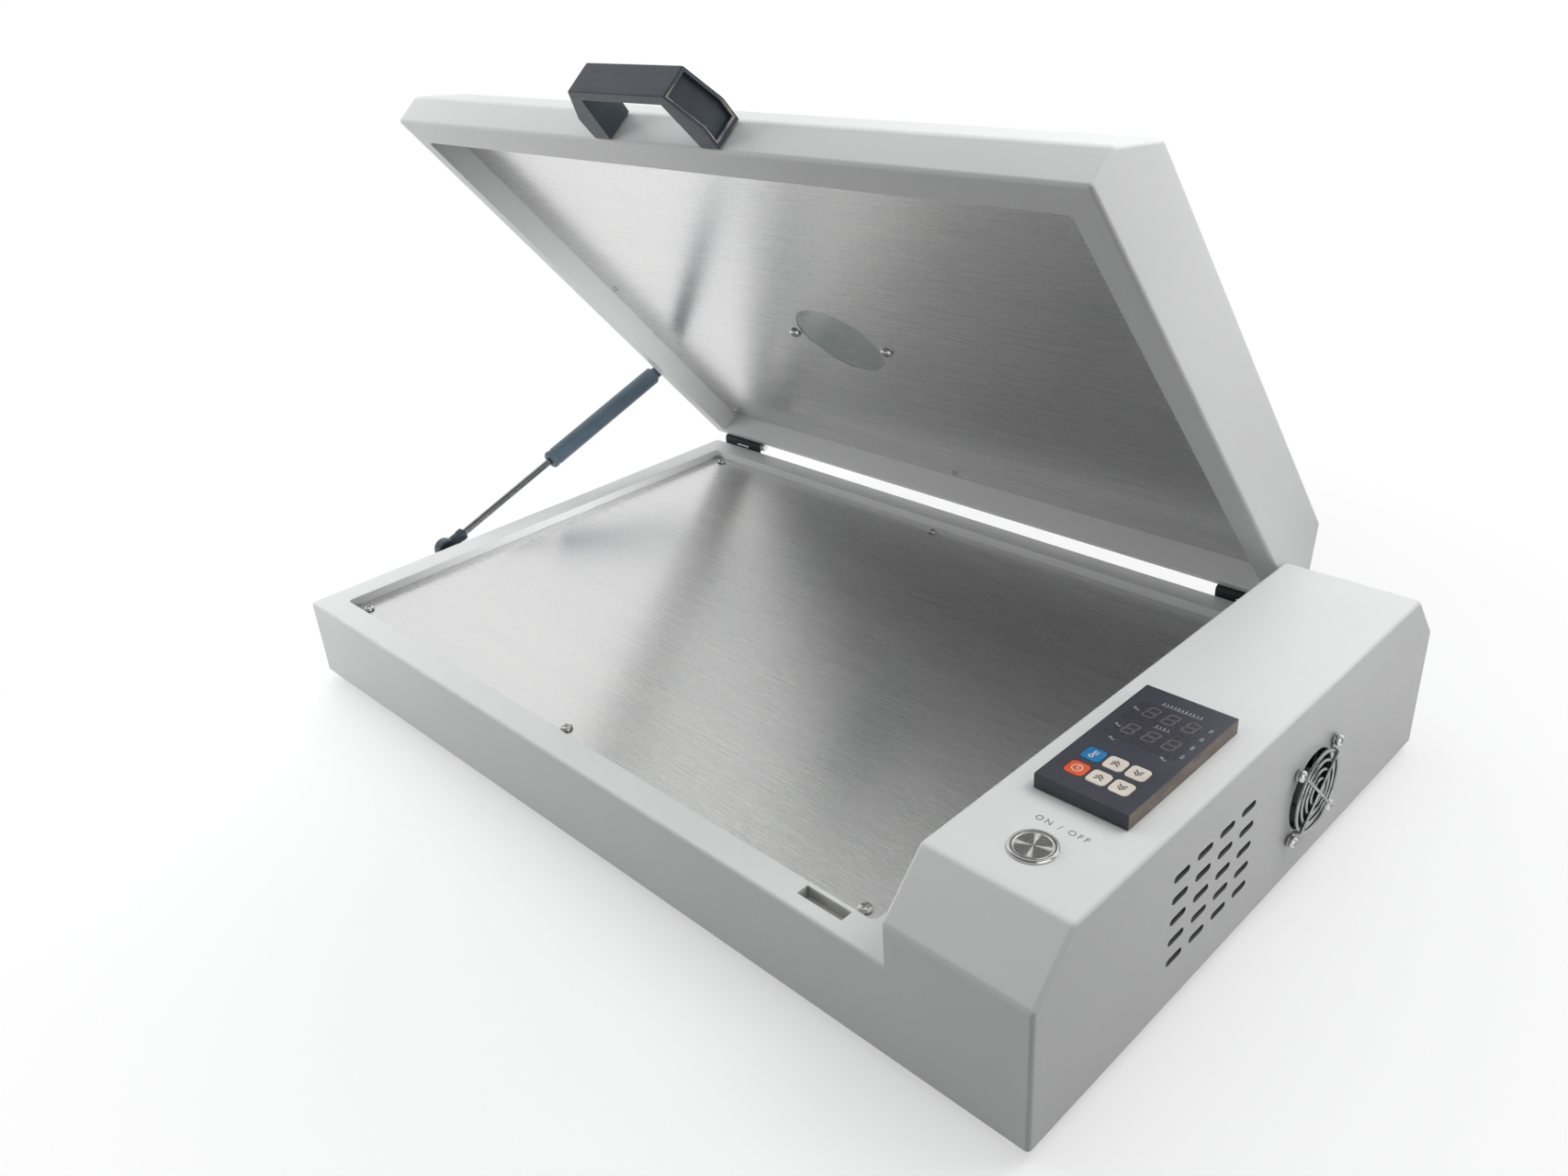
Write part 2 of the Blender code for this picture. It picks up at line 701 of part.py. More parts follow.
def fan_screw_places(x):
    half = FAN_SCREW_PITCH / 2
    return [Vector((x, FAN_CENTRE.y + a * half, FAN_CENTRE.z + b * half)) for a in (-1, 1) for b in (-1, 1)]


def hinge_starts():
    """Left end of each hinge."""
    return (LEFT + HINGE_FROM_SIDE, LID_RIGHT - HINGE_FROM_SIDE - HINGE_LENGTH)


def strut_foot():
    return Vector((STRUT_X, FRONT + STRUT_FOOT_FROM_FRONT, RIM_Z - STRUT_FOOT_BELOW_RIM))


def strut_head_closed():
    return Vector((STRUT_X, BACK - STRUT_HEAD_FROM_BACK, LID_Z + STRUT_HEAD_ABOVE_LID_RIM))


def strut_head_open():
    arm = strut_head_closed() - HINGE
    arm.rotate(Matrix.Rotation(-LID_OPEN, 3, "X"))
    return HINGE + arm


def handle_level():
    """Middle of the lid's upright front wall."""
    return (LID_Z + TOP_Z - SLOPE_DROP) / 2


def vent_places():
    places = []
    for column in range(VENT_COLUMNS):
        for row in range(VENT_ROWS):
            y = FRONT + VENT_CENTRE_FROM_FRONT + (column - (VENT_COLUMNS - 1) / 2) * VENT_PITCH_Y
            z = BASE_Z + VENT_CENTRE_HEIGHT + (row - (VENT_ROWS - 1) / 2) * VENT_PITCH_Z
            places.append((y, z))
    return places


def key_places():
    places = []
    for row in range(2):
        for column in (-1, 0, 1):
            x = POD_MID + column * KEY_PITCH_X
            y = FRONT + PANEL_FROM_FRONT + KEY_ROW_FROM_FRONT + row * KEY_PITCH_Y
            places.append(Vector((x, y, PANEL_TOP + KEY_PROUD)))
    return places


# Casing

def base_housing(mats, root):
    bm = base_solid(0.0, BASE_Z)

    def outer_bend(a, b):
        on_floor = near(a.z, BASE_Z) and near(b.z, BASE_Z)
        in_corner = near(a.z, RIM_Z) and near(b.z, RIM_Z) and near(a.x, POD_LEFT) and near(b.x, POD_LEFT)
        return not on_floor and not in_corner

    bevel_edges(bm, outer_bend, BEND_RADIUS, BEND_STEPS)
    cavity = base_solid(SHEET, BASE_Z + SHEET)
    boolean(cavity, one_area(grown(BED_AREA, SHEET), BED_CORNER_RADIUS + SHEET, LEDGE_Z - SHEET, TOP_Z))
    boolean(bm, cavity)
    boolean(bm, one_area(BED_AREA, BED_CORNER_RADIUS, LEDGE_Z, TOP_Z + SHEET))

    bevel_edges(bm, rim_of(BED_AREA, RIM_Z), RIM_FILLET, RIM_STEPS)
    cuts = bmesh.new()
    area_prism(cuts, grown(BED_AREA, -LEDGE_WIDTH), 0.0, LEDGE_Z - 2 * SHEET, LEDGE_Z + SHEET)
    mouth = (LEFT + FLANGE_WIDTH, RIGHT - FLANGE_WIDTH, FRONT + FLANGE_WIDTH, BACK - FLANGE_WIDTH)
    area_prism(cuts, mouth, 0.0, BASE_Z - SHEET, BASE_Z + 2 * SHEET)
    slot_x = POD_LEFT - SWITCH_SLOT_FROM_POD - SWITCH_SLOT_LENGTH
    slot_y = FRONT + SWITCH_SLOT_FROM_FRONT
    box(
        cuts, slot_x, slot_x + SWITCH_SLOT_LENGTH, slot_y, slot_y + SWITCH_SLOT_WIDTH,
        RIM_Z - 2 * SHEET, RIM_Z + SHEET,
    )
    for y, z in vent_places():
        prism(cuts, slot_outline(y, z, VENT_LENGTH, VENT_WIDTH), "X", RIGHT - 2 * SHEET, RIGHT + SHEET)
    bore = circle(FAN_CENTRE.y, FAN_CENTRE.z, FAN_BORE_RADIUS, LARGE_SIDES)
    prism(cuts, bore, "X", RIGHT - 2 * SHEET, RIGHT + SHEET)
    screw_holes(cuts, fan_screw_places(RIGHT), (1, 0, 0), FAN_SCREW, 2 * SHEET)
    cutout = CASE_CLEARANCE - CUTOUT_GAP
    panel = (
        POD_MID - PANEL_WIDTH / 2 + cutout, POD_MID + PANEL_WIDTH / 2 - cutout,
        FRONT + PANEL_FROM_FRONT + cutout, PANEL_BACK - cutout,
    )
    area_prism(cuts, panel, 0.0, TOP_Z - 2 * SHEET, TOP_Z + SHEET)
    button = circle(BUTTON_CENTRE.x, BUTTON_CENTRE.y, BUTTON_BARREL_RADIUS + CUTOUT_GAP, ROUND_SIDES)
    prism(cuts, button, "Z", TOP_Z - 2 * SHEET, TOP_Z + SHEET)
    prism(cuts, inlet_outline(CUTOUT_GAP), "Y", BACK - 2 * SHEET, BACK + SHEET)
    ledge_places = [Vector((p.x, p.y, LEDGE_Z)) for p in bed_screw_places()]
    screw_holes(cuts, ledge_places, (0, 0, 1), PLATE_SCREW, 2 * SHEET)
    boolean(bm, cuts)
    add_node("base_housing", bm, mats["coat"], root)


def underside(mats, root):
    cover = bmesh.new()
    area = (LEFT + COVER_INSET, RIGHT - COVER_INSET, FRONT + COVER_INSET, BACK - COVER_INSET)
    area_prism(cover, area, COVER_CORNER_RADIUS, FOOT_HEIGHT, COVER_TOP)
    add_node("bottom_cover", cover, mats["zinc"], root)
    top = FOOT_HEIGHT - SEAT_GAP
    profile = [
        (0.0, 0.0), (FOOT_RADIUS - FOOT_CHAMFER, 0.0), (FOOT_RADIUS, FOOT_CHAMFER), (FOOT_RADIUS, top),
        (0.0, top),
    ]
    for side, x in (("left", LEFT + FOOT_INSET), ("right", RIGHT - FOOT_INSET)):
        for end, y in (("front", FRONT + FOOT_INSET), ("back", BACK - FOOT_INSET)):
            foot = bmesh.new()
            turned(foot, (x, y, 0.0), (0, 0, 1), profile, ROUND_SIDES)
            add_node(f"{end}_{side}_foot", foot, mats["rubber"], root)


# Heated bed

def heated_bed(mats, root):
    plate = one_area(grown(BED_AREA, -EDGE_GAP), BED_CORNER_RADIUS, LEDGE_Z + SEAT_GAP, BED_TOP)
    holes = bmesh.new()
    screw_holes(holes, bed_screw_places(), (0, 0, 1), PLATE_SCREW, 2 * PLATE_THICKNESS)
    add_node("bed_plate", boolean(plate, holes), mats["stainless"], root)
    add_screws("bed_plate_screw", bed_screw_places(), (0, 0, 1), PLATE_SCREW, mats["chrome"], root)
    inner = grown(BED_AREA, -LEDGE_WIDTH - EDGE_GAP)
    heater_top = LEDGE_Z
    heater_low = heater_top - HEATER_THICKNESS
    heater = one_area(inner, HEATER_CORNER_RADIUS, heater_low, heater_top)
    add_node("bed_heater", heater, mats["heater"], root)
    wool = one_area(inner, HEATER_CORNER_RADIUS, BASE_Z, heater_low - SEAT_GAP)
    add_node("bed_insulation", wool, mats["wool"], root)
    wall = bmesh.new()
    wall_y = SHEET + SEAT_GAP
    box(
        wall, POD_LEFT - SHEET - SEAT_GAP, POD_LEFT - SEAT_GAP, FRONT + wall_y, BACK - wall_y,
        BASE_Z + SHEET + SEAT_GAP, RIM_Z - SHEET - SEAT_GAP,
    )
    add_node("pod_partition", wall, mats["zinc"], root)
    switch = bmesh.new()
    x = POD_LEFT - SWITCH_SLOT_FROM_POD - SWITCH_SLOT_LENGTH / 2
    top = RIM_Z - SHEET - SWITCH_DEPTH
    y_low = FRONT + SHEET + SEAT_GAP
    y_high = FRONT + BED_END_BORDER - SHEET - SEAT_GAP
    half = SWITCH_SLOT_LENGTH / 2
    box(switch, x - half, x + half, y_low, y_high, top - SWITCH_HEIGHT, top)
    add_node("lid_switch", switch, mats["black"], root)


# Lid

def lid(mats, axis):
    bm = lid_solid(0.0, LID_Z)
    bevel_edges(bm, lambda a, b: True, BEND_RADIUS, BEND_STEPS)
    cavity = lid_solid(SHEET, LID_Z + SHEET)
    boolean(cavity, one_area(grown(LID_AREA, SHEET), LID_CORNER_RADIUS + SHEET, LID_Z, LID_LEDGE_Z + SHEET))
    boolean(bm, cavity)
    boolean(bm, one_area(LID_AREA, LID_CORNER_RADIUS, LID_Z - SHEET, LID_LEDGE_Z))
    bevel_edges(bm, rim_of(LID_AREA, LID_Z), RIM_FILLET, RIM_STEPS)
    cuts = bmesh.new()
    area_prism(cuts, grown(LID_AREA, -LEDGE_WIDTH), 0.0, LID_LEDGE_Z - SHEET, LID_LEDGE_Z + 2 * SHEET)
    boolean(bm, cuts)
    add_node("lid_shell", bm, mats["coat"], axis, HINGE, (0, 0, 0))

    plate_top = LID_PLATE_Z + PLATE_THICKNESS
    plate = one_area(grown(LID_AREA, -EDGE_GAP), LID_CORNER_RADIUS, LID_PLATE_Z, plate_top)
    holes = bmesh.new()
    screw_holes(holes, disc_screw_places(LID_PLATE_Z), (0, 0, 1), PLATE_SCREW, 2 * PLATE_THICKNESS)
    opening = disc_centre() - Vector((0, 0, PLATE_THICKNESS))
    cylinder(holes, opening, (0, 0, 1), DISC_OPENING_RADIUS, 3 * PLATE_THICKNESS, DISC_SIDES)
    add_node("lid_plate", boolean(plate, holes), mats["stainless"], axis, HINGE, (0, 0, 0))

    x_low, x_high, y_low, y_high = grown(LID_AREA, -LEDGE_WIDTH - EDGE_GAP)
    y_high = min(y_high, BACK - REAR_RUN - 2 * SHEET)
    y_low = max(y_low, FRONT + SLOPE_RUN + 2 * SHEET)
    inner = (x_low, x_high, y_low, y_high)
    heater_low = LID_PLATE_Z + PLATE_THICKNESS + SEAT_GAP
    heater = one_area(inner, HEATER_CORNER_RADIUS, heater_low, heater_low + HEATER_THICKNESS)
    round_hole = bmesh.new()
    radius = DISC_OPENING_RADIUS + DISC_FLANGE + EDGE_GAP
    cylinder(round_hole, opening, (0, 0, 1), radius, 4 * PLATE_THICKNESS + HEATER_THICKNESS, DISC_SIDES)
    add_node("lid_heater", boolean(heater, round_hole), mats["heater"], axis, HINGE, (0, 0, 0))
    wool_low = heater_low + HEATER_THICKNESS + SEAT_GAP
    wool = one_area(inner, HEATER_CORNER_RADIUS, wool_low, TOP_Z - SHEET - SEAT_GAP)
    add_node("lid_insulation", wool, mats["wool"], axis, HINGE, (0, 0, 0))


def disc_centre():
    """Middle of the opening in the face of the lid plate."""
    x_low, x_high, y_low, y_high = LID_AREA
    x = (x_low + x_high) / 2 - DISC_LEFT_OF_MIDDLE
    return Vector((x, (y_low + y_high) / 2 + DISC_BEHIND_MIDDLE, LID_PLATE_Z))


def disc_screw_places(z):
    centre = disc_centre()
    return [Vector((centre.x + side * DISC_SCREW_REACH, centre.y, z)) for side in (-1, 1)]


def vent_disc(mats, axis):
    """A polished disc behind the round opening, held by two screws through the lid plate."""
    centre = disc_centre()
    face = LID_PLATE_Z + PLATE_THICKNESS + SEAT_GAP
    disc = bmesh.new()
    radius = DISC_OPENING_RADIUS + DISC_FLANGE
    cylinder(disc, (centre.x, centre.y, face), (0, 0, 1), radius, DISC_THICKNESS, DISC_SIDES)
    holes = bmesh.new()
    screw_holes(holes, disc_screw_places(face), (0, 0, 1), PLATE_SCREW, 2 * DISC_THICKNESS)
    add_node("vent_disc", boolean(disc, holes), mats["chrome"], axis, HINGE, (0, 0, 0))
    seats = disc_screw_places(LID_PLATE_Z - SEAT_GAP)
    down = (0, 0, -1)
    at_rest = (0, 0, 0)
    add_screws("vent_disc_screw", seats, down, PLATE_SCREW, mats["chrome"], axis, HINGE, at_rest)


def handle(mats, axis):
    half_foot = HANDLE_FOOT_SPAN / 2
    half_top = HANDLE_TOP_SPAN / 2
    inner_foot = half_foot - HANDLE_FOOT_LENGTH
    underside_height = HANDLE_HEIGHT - HANDLE_BAR
    right = [
        (inner_foot - HANDLE_LEAN, underside_height), (inner_foot, 0.0), (half_foot, 0.0),
        (half_foot, HANDLE_SHOULDER), (half_top, HANDLE_HEIGHT),
    ]
    left = [(-a, h) for a, h in reversed(right)]
    front = FRONT - SEAT_GAP
    outline = [(LID_MID + a, front - h) for a, h in right + left]
    level = handle_level()
    z_low = level - HANDLE_WIDTH / 2
    z_high = level + HANDLE_WIDTH / 2
    bm = bmesh.new()
    prism(bm, outline, "Z", z_low, z_high)
    off_lid = lambda a, b: not (near(a.y, front) and near(b.y, front))
    bevel_edges(bm, off_lid, HANDLE_BEVEL, HANDLE_BEVEL_STEPS)
    cuts = bmesh.new()
    slant = Vector((half_top - half_foot, HANDLE_HEIGHT - HANDLE_SHOULDER))
    outward = Vector((slant.y, -slant.x)).normalized()
    low = Vector((half_foot, HANDLE_POCKET_START))
    shoulder = Vector((half_foot, HANDLE_SHOULDER))
    high = shoulder + slant - slant.normalized() * HANDLE_POCKET_END
    straight = Vector((1.0, 0.0))
    mitre = (outward + straight) / (1.0 + outward.dot(straight))
    path = [(low, straight), (shoulder, mitre), (high, outward)]
    deep = [point - way * HANDLE_POCKET for point, way in path]
    proud = [point + way * HANDLE_POCKET for point, way in path]
    pocket = deep + proud[::-1]
    for side in (-1, 1):
        points = [(LID_MID + side * p.x, front - p.y) for p in pocket]
        prism(cuts, points, "Z", z_low + HANDLE_LIP, z_high - HANDLE_LIP)
    add_node("handle", boolean(bm, cuts), mats["slate"], axis, HINGE, (0, 0, 0))


# Hinges

def hinge_leaf(start, side, knuckles):
    """A leaf with its knuckles: below the axis for side -1, above it for side 1."""
    bm = bmesh.new()
    y_low = BACK + SEAT_GAP
    y_high = y_low + LEAF_THICKNESS
    near_edge = HINGE.z + side * LEAF_SETBACK
    far_edge = HINGE.z + side * LEAF_HEIGHT
    box(bm, start, start + HINGE_LENGTH, y_low, y_high, min(near_edge, far_edge), max(near_edge, far_edge))
    for low, high in knuckles:
        tongue = bmesh.new()
        ends = (HINGE.z, near_edge + side * LEAF_SETBACK / 2)
        box(tongue, start + low, start + high, HINGE.y - KNUCKLE_RADIUS, y_high, min(ends), max(ends))
        boolean(bm, tongue, "UNION")
        barrel = bmesh.new()
        cylinder(barrel, (start + low, HINGE.y, HINGE.z), (1, 0, 0), KNUCKLE_RADIUS, high - low, ROUND_SIDES)
        boolean(bm, barrel, "UNION")
    bores = bmesh.new()
    bore_start = (start - PIN_RADIUS, HINGE.y, HINGE.z)
    cylinder(bores, bore_start, (1, 0, 0), PIN_RADIUS + RUN_GAP, HINGE_LENGTH + 2 * PIN_RADIUS, SMALL_SIDES)
    return boolean(bm, bores)


def hinges(mats, root, axis):
    third = HINGE_LENGTH / 3
    outer = [(0.0, third - KNUCKLE_GAP / 2), (2 * third + KNUCKLE_GAP / 2, HINGE_LENGTH)]
    middle = [(third + KNUCKLE_GAP / 2, 2 * third - KNUCKLE_GAP / 2)]
    for label, start in zip(("left", "right"), hinge_starts()):
        add_node(f"{label}_hinge_base_leaf", hinge_leaf(start, -1, outer), mats["hinge"], root)
        lid_leaf = hinge_leaf(start, 1, middle)
        add_node(f"{label}_hinge_lid_leaf", lid_leaf, mats["hinge"], axis, HINGE, (0, 0, 0))
        pin = bmesh.new()
        end = HINGE_LENGTH + SEAT_GAP
        profile = [
            (0.0, 0.0), (PIN_RADIUS, 0.0), (PIN_RADIUS, end), (KNUCKLE_RADIUS, end),
            (KNUCKLE_RADIUS, end + PIN_HEAD_LENGTH - PIN_HEAD_EDGE),
            (KNUCKLE_RADIUS - PIN_HEAD_EDGE, end + PIN_HEAD_LENGTH), (0.0, end + PIN_HEAD_LENGTH),
        ]
        turned(pin, (start, HINGE.y, HINGE.z), (1, 0, 0), profile, ROUND_SIDES)
        add_node(f"{label}_hinge_pin", pin, mats["chrome"], root)


# Gas strut

def strut_bracket(stud, downward, reach):
    """A plate on a side wall with a stud towards the strut."""
    bm = bmesh.new()
    wall = LEFT - SEAT_GAP
    ends = (stud.z + downward * BRACKET_EDGE, stud.z - downward * (BRACKET_HEIGHT - BRACKET_EDGE))
    outline = rounded_rectangle(
        stud.y - BRACKET_WIDTH / 2, stud.y + BRACKET_WIDTH / 2, min(ends), max(ends), BRACKET_CORNER
    )
    prism(bm, outline, "X", wall - BRACKET_THICKNESS, wall)
    post = bmesh.new()
    root_x = wall - BRACKET_THICKNESS / 2
    cylinder(post, (root_x, stud.y, stud.z), (-1, 0, 0), STUD_RADIUS, root_x - reach, ROUND_SIDES)
    return boolean(bm, post, "UNION")


def strut_socket(neck_sign, bored):
    """An end fitting in the strut's own frame, centred on its joint, with its neck along Y."""
    bm = bmesh.new()
    half = SOCKET_LENGTH / 2
    edge = SOCKET_EDGE
    profile = [
        (0.0, -half), (SOCKET_RADIUS - edge, -half), (SOCKET_RADIUS, -half + edge),
        (SOCKET_RADIUS, half - edge), (SOCKET_RADIUS - edge, half), (0.0, half),
    ]
    turned(bm, (0, 0, 0), (1, 0, 0), profile, ROUND_SIDES)
    neck = bmesh.new()
    wide = SOCKET_NECK_RADIUS
    steps = [
        (0.0, edge), (wide, edge), (wide, SOCKET_REACH - edge),
        (wide - edge, SOCKET_REACH), (0.0, SOCKET_REACH),
    ]
    turned(neck, (0, 0, 0), (0, neck_sign, 0), steps, SMALL_SIDES)
    boolean(bm, neck, "UNION")
    if bored:
        bore = bmesh.new()
        radius = STUD_RADIUS + RUN_GAP
        cylinder(bore, (half + edge, 0, 0), (-1, 0, 0), radius, STUD_DEPTH + RUN_GAP + edge, ROUND_SIDES)
        boolean(bm, bore)
    return bm


def gas_strut(mats, root, lid_axis):
    foot = strut_foot()
    head = strut_head_open()
    span = head - foot
    length = span.length
    tilt = math.atan2(span.z, span.y)
    inner_face = STRUT_X + SOCKET_LENGTH / 2
    base_bracket = strut_bracket(foot, 1, inner_face - STUD_DEPTH)
    add_node("strut_base_bracket", base_bracket, mats["hinge"], root)
    closed = strut_head_closed()
    lid_bracket = strut_bracket(closed, -1, inner_face + RUN_GAP)
    add_node("strut_lid_bracket", lid_bracket, mats["hinge"], lid_axis, HINGE, (0, 0, 0))

    axis = add_empty("strut_axis", root, foot, tilt)
    tube_start = length - SOCKET_REACH - SEAT_GAP - TUBE_LENGTH
    rod_end = tube_start + ROD_IN_TUBE
    add_node("strut_rod_socket", strut_socket(1, True), mats["slate"], axis)
    rod = bmesh.new()
    rod_start = SOCKET_REACH + SEAT_GAP
    cylinder(rod, (0, rod_start, 0), (0, 1, 0), ROD_RADIUS, rod_end - rod_start, SMALL_SIDES)
    add_node("strut_rod", rod, mats["chrome"], axis)
    tube = bmesh.new()
    tube_end = tube_start + TUBE_LENGTH
    bore = ROD_RADIUS + RUN_GAP
    groove = TUBE_RADIUS - CRIMP_DEPTH
    crimp = tube_start + CRIMP_FROM_END
    crimp_end = crimp + CRIMP_WIDTH
    profile = [
        (0.0, tube_end - TUBE_END), (bore, tube_end - TUBE_END), (bore, tube_start),
        (TUBE_RADIUS - TUBE_ROUND, tube_start), (TUBE_RADIUS, tube_start + TUBE_ROUND),
        (TUBE_RADIUS, crimp), (groove, crimp + CRIMP_DEPTH), (groove, crimp_end - CRIMP_DEPTH),
        (TUBE_RADIUS, crimp_end), (TUBE_RADIUS, tube_end - TUBE_ROUND), (TUBE_RADIUS - TUBE_ROUND, tube_end),
        (0.0, tube_end),
    ]
    turned(tube, (0, 0, 0), (0, 1, 0), profile, ROUND_SIDES)
    add_node("strut_tube", tube, mats["strut"], axis)
    socket = strut_socket(-1, False)
    add_node("strut_tube_socket", socket, mats["slate"], axis, (0, 0, 0), (0, length, 0))


# Control pod

def controller(mats, root):
    bottom = TOP_Z + SEAT_GAP
    front = FRONT + PANEL_FROM_FRONT
    area = (POD_MID - PANEL_WIDTH / 2, POD_MID + PANEL_WIDTH / 2, front, PANEL_BACK)
    bm = one_area(area, 0.0, bottom, PANEL_TOP)
    off_pod = lambda a, b: not (near(a.z, bottom) and near(b.z, bottom))
    bevel_edges(bm, off_pod, PANEL_BEVEL, PANEL_BEVEL_STEPS)
    cuts = bmesh.new()
    well = PANEL_TOP + KEY_PROUD - KEY_WELL
    for key in key_places():
        area_prism(cuts, key_area(key, RUN_GAP), KEY_CORNER + RUN_GAP, well, PANEL_TOP + KEY_WELL)
    display = (
        POD_MID - DISPLAY_WIDTH / 2, POD_MID + DISPLAY_WIDTH / 2,
        PANEL_BACK - DISPLAY_FROM_BACK - DISPLAY_LENGTH, PANEL_BACK - DISPLAY_FROM_BACK,
    )
    display_floor = PANEL_TOP - DISPLAY_THICKNESS - SEAT_GAP
    area_prism(cuts, display, DISPLAY_CORNER, display_floor, PANEL_TOP + DISPLAY_THICKNESS)
    add_node("controller_bezel", boolean(bm, cuts), mats["black"], root)
    window = one_area(grown(display, -SEAT_GAP), DISPLAY_CORNER, PANEL_TOP - DISPLAY_THICKNESS, PANEL_TOP)
    add_node("display_window", window, mats["black"], root)
    case = one_area(grown(area, -CASE_CLEARANCE), CASE_CORNER, TOP_Z - CASE_DEPTH, TOP_Z)
    add_node("controller_case", case, mats["black"], root)
    names = ("red", "low_up", "low_down", "blue", "high_up", "high_down")
    colours = ("red", "cream", "cream", "blue", "cream", "cream")
    for name, colour, key in zip(names, colours, key_places()):
        cap = one_area(key_area(key, 0.0), KEY_CORNER, key.z - KEY_HEIGHT, key.z)
        add_node(f"key_{name}", cap, mats[colour], root, key)


def key_area(key, gap):
    half_width = KEY_WIDTH / 2
    half_length = KEY_LENGTH / 2
    return grown((key.x - half_width, key.x + half_width, key.y - half_length, key.y + half_length), gap)


def power_button(mats, root):
    top = BUTTON_CENTRE.z
    bore = BUTTON_CAP_RADIUS + RUN_GAP
    floor = -BUTTON_CAP_HEIGHT - BUTTON_TRAVEL - 2 * RUN_GAP
    low = -BUTTON_FLANGE_HEIGHT
    slope = BUTTON_FLANGE_SLOPE
    mouth = BUTTON_MOUTH_SLOPE
    profile = [
        (0.0, floor), (bore, floor), (bore, -mouth), (bore + mouth, 0.0), (BUTTON_FLANGE_RADIUS - slope, 0.0),
        (BUTTON_FLANGE_RADIUS, -slope), (BUTTON_FLANGE_RADIUS, low), (BUTTON_BARREL_RADIUS, low),
        (BUTTON_BARREL_RADIUS, low - BUTTON_BARREL_LENGTH), (0.0, low - BUTTON_BARREL_LENGTH),
    ]
    bezel = bmesh.new()
    turned(bezel, BUTTON_CENTRE, (0, 0, 1), profile, LARGE_SIDES)
    add_node("button_bezel", bezel, mats["chrome"], root)
    cap = bmesh.new()
    outer = BUTTON_CAP_RADIUS - BUTTON_CAP_EDGE
    inner = outer - BUTTON_CAP_RIM
    shape = [
        (0.0, -BUTTON_CAP_HEIGHT), (BUTTON_CAP_RADIUS, -BUTTON_CAP_HEIGHT),
        (BUTTON_CAP_RADIUS, -BUTTON_CAP_EDGE), (outer, 0.0), (inner, 0.0),
        (inner - BUTTON_CAP_EDGE, -BUTTON_CAP_DISH), (0.0, -BUTTON_CAP_DISH),
    ]
    turned(cap, BUTTON_CENTRE, (0, 0, 1), shape, LARGE_SIDES)
    add_node("button_cap", cap, mats["chrome"], root, BUTTON_CENTRE)
    nut = bmesh.new()
    nut_top = TOP_Z - SHEET - SEAT_GAP
    start = (BUTTON_CENTRE.x, BUTTON_CENTRE.y, nut_top - BUTTON_NUT_HEIGHT)
    prism(nut, circle(start[0], start[1], BUTTON_NUT_RADIUS, 6), "Z", start[2], nut_top)
    hole = bmesh.new()
    barrel = circle(start[0], start[1], BUTTON_BARREL_RADIUS + RUN_GAP, LARGE_SIDES)
    prism(hole, barrel, "Z", start[2] - SHEET, nut_top + SHEET)
    add_node("button_nut", boolean(nut, hole), mats["zinc"], root)


# Cooling fan

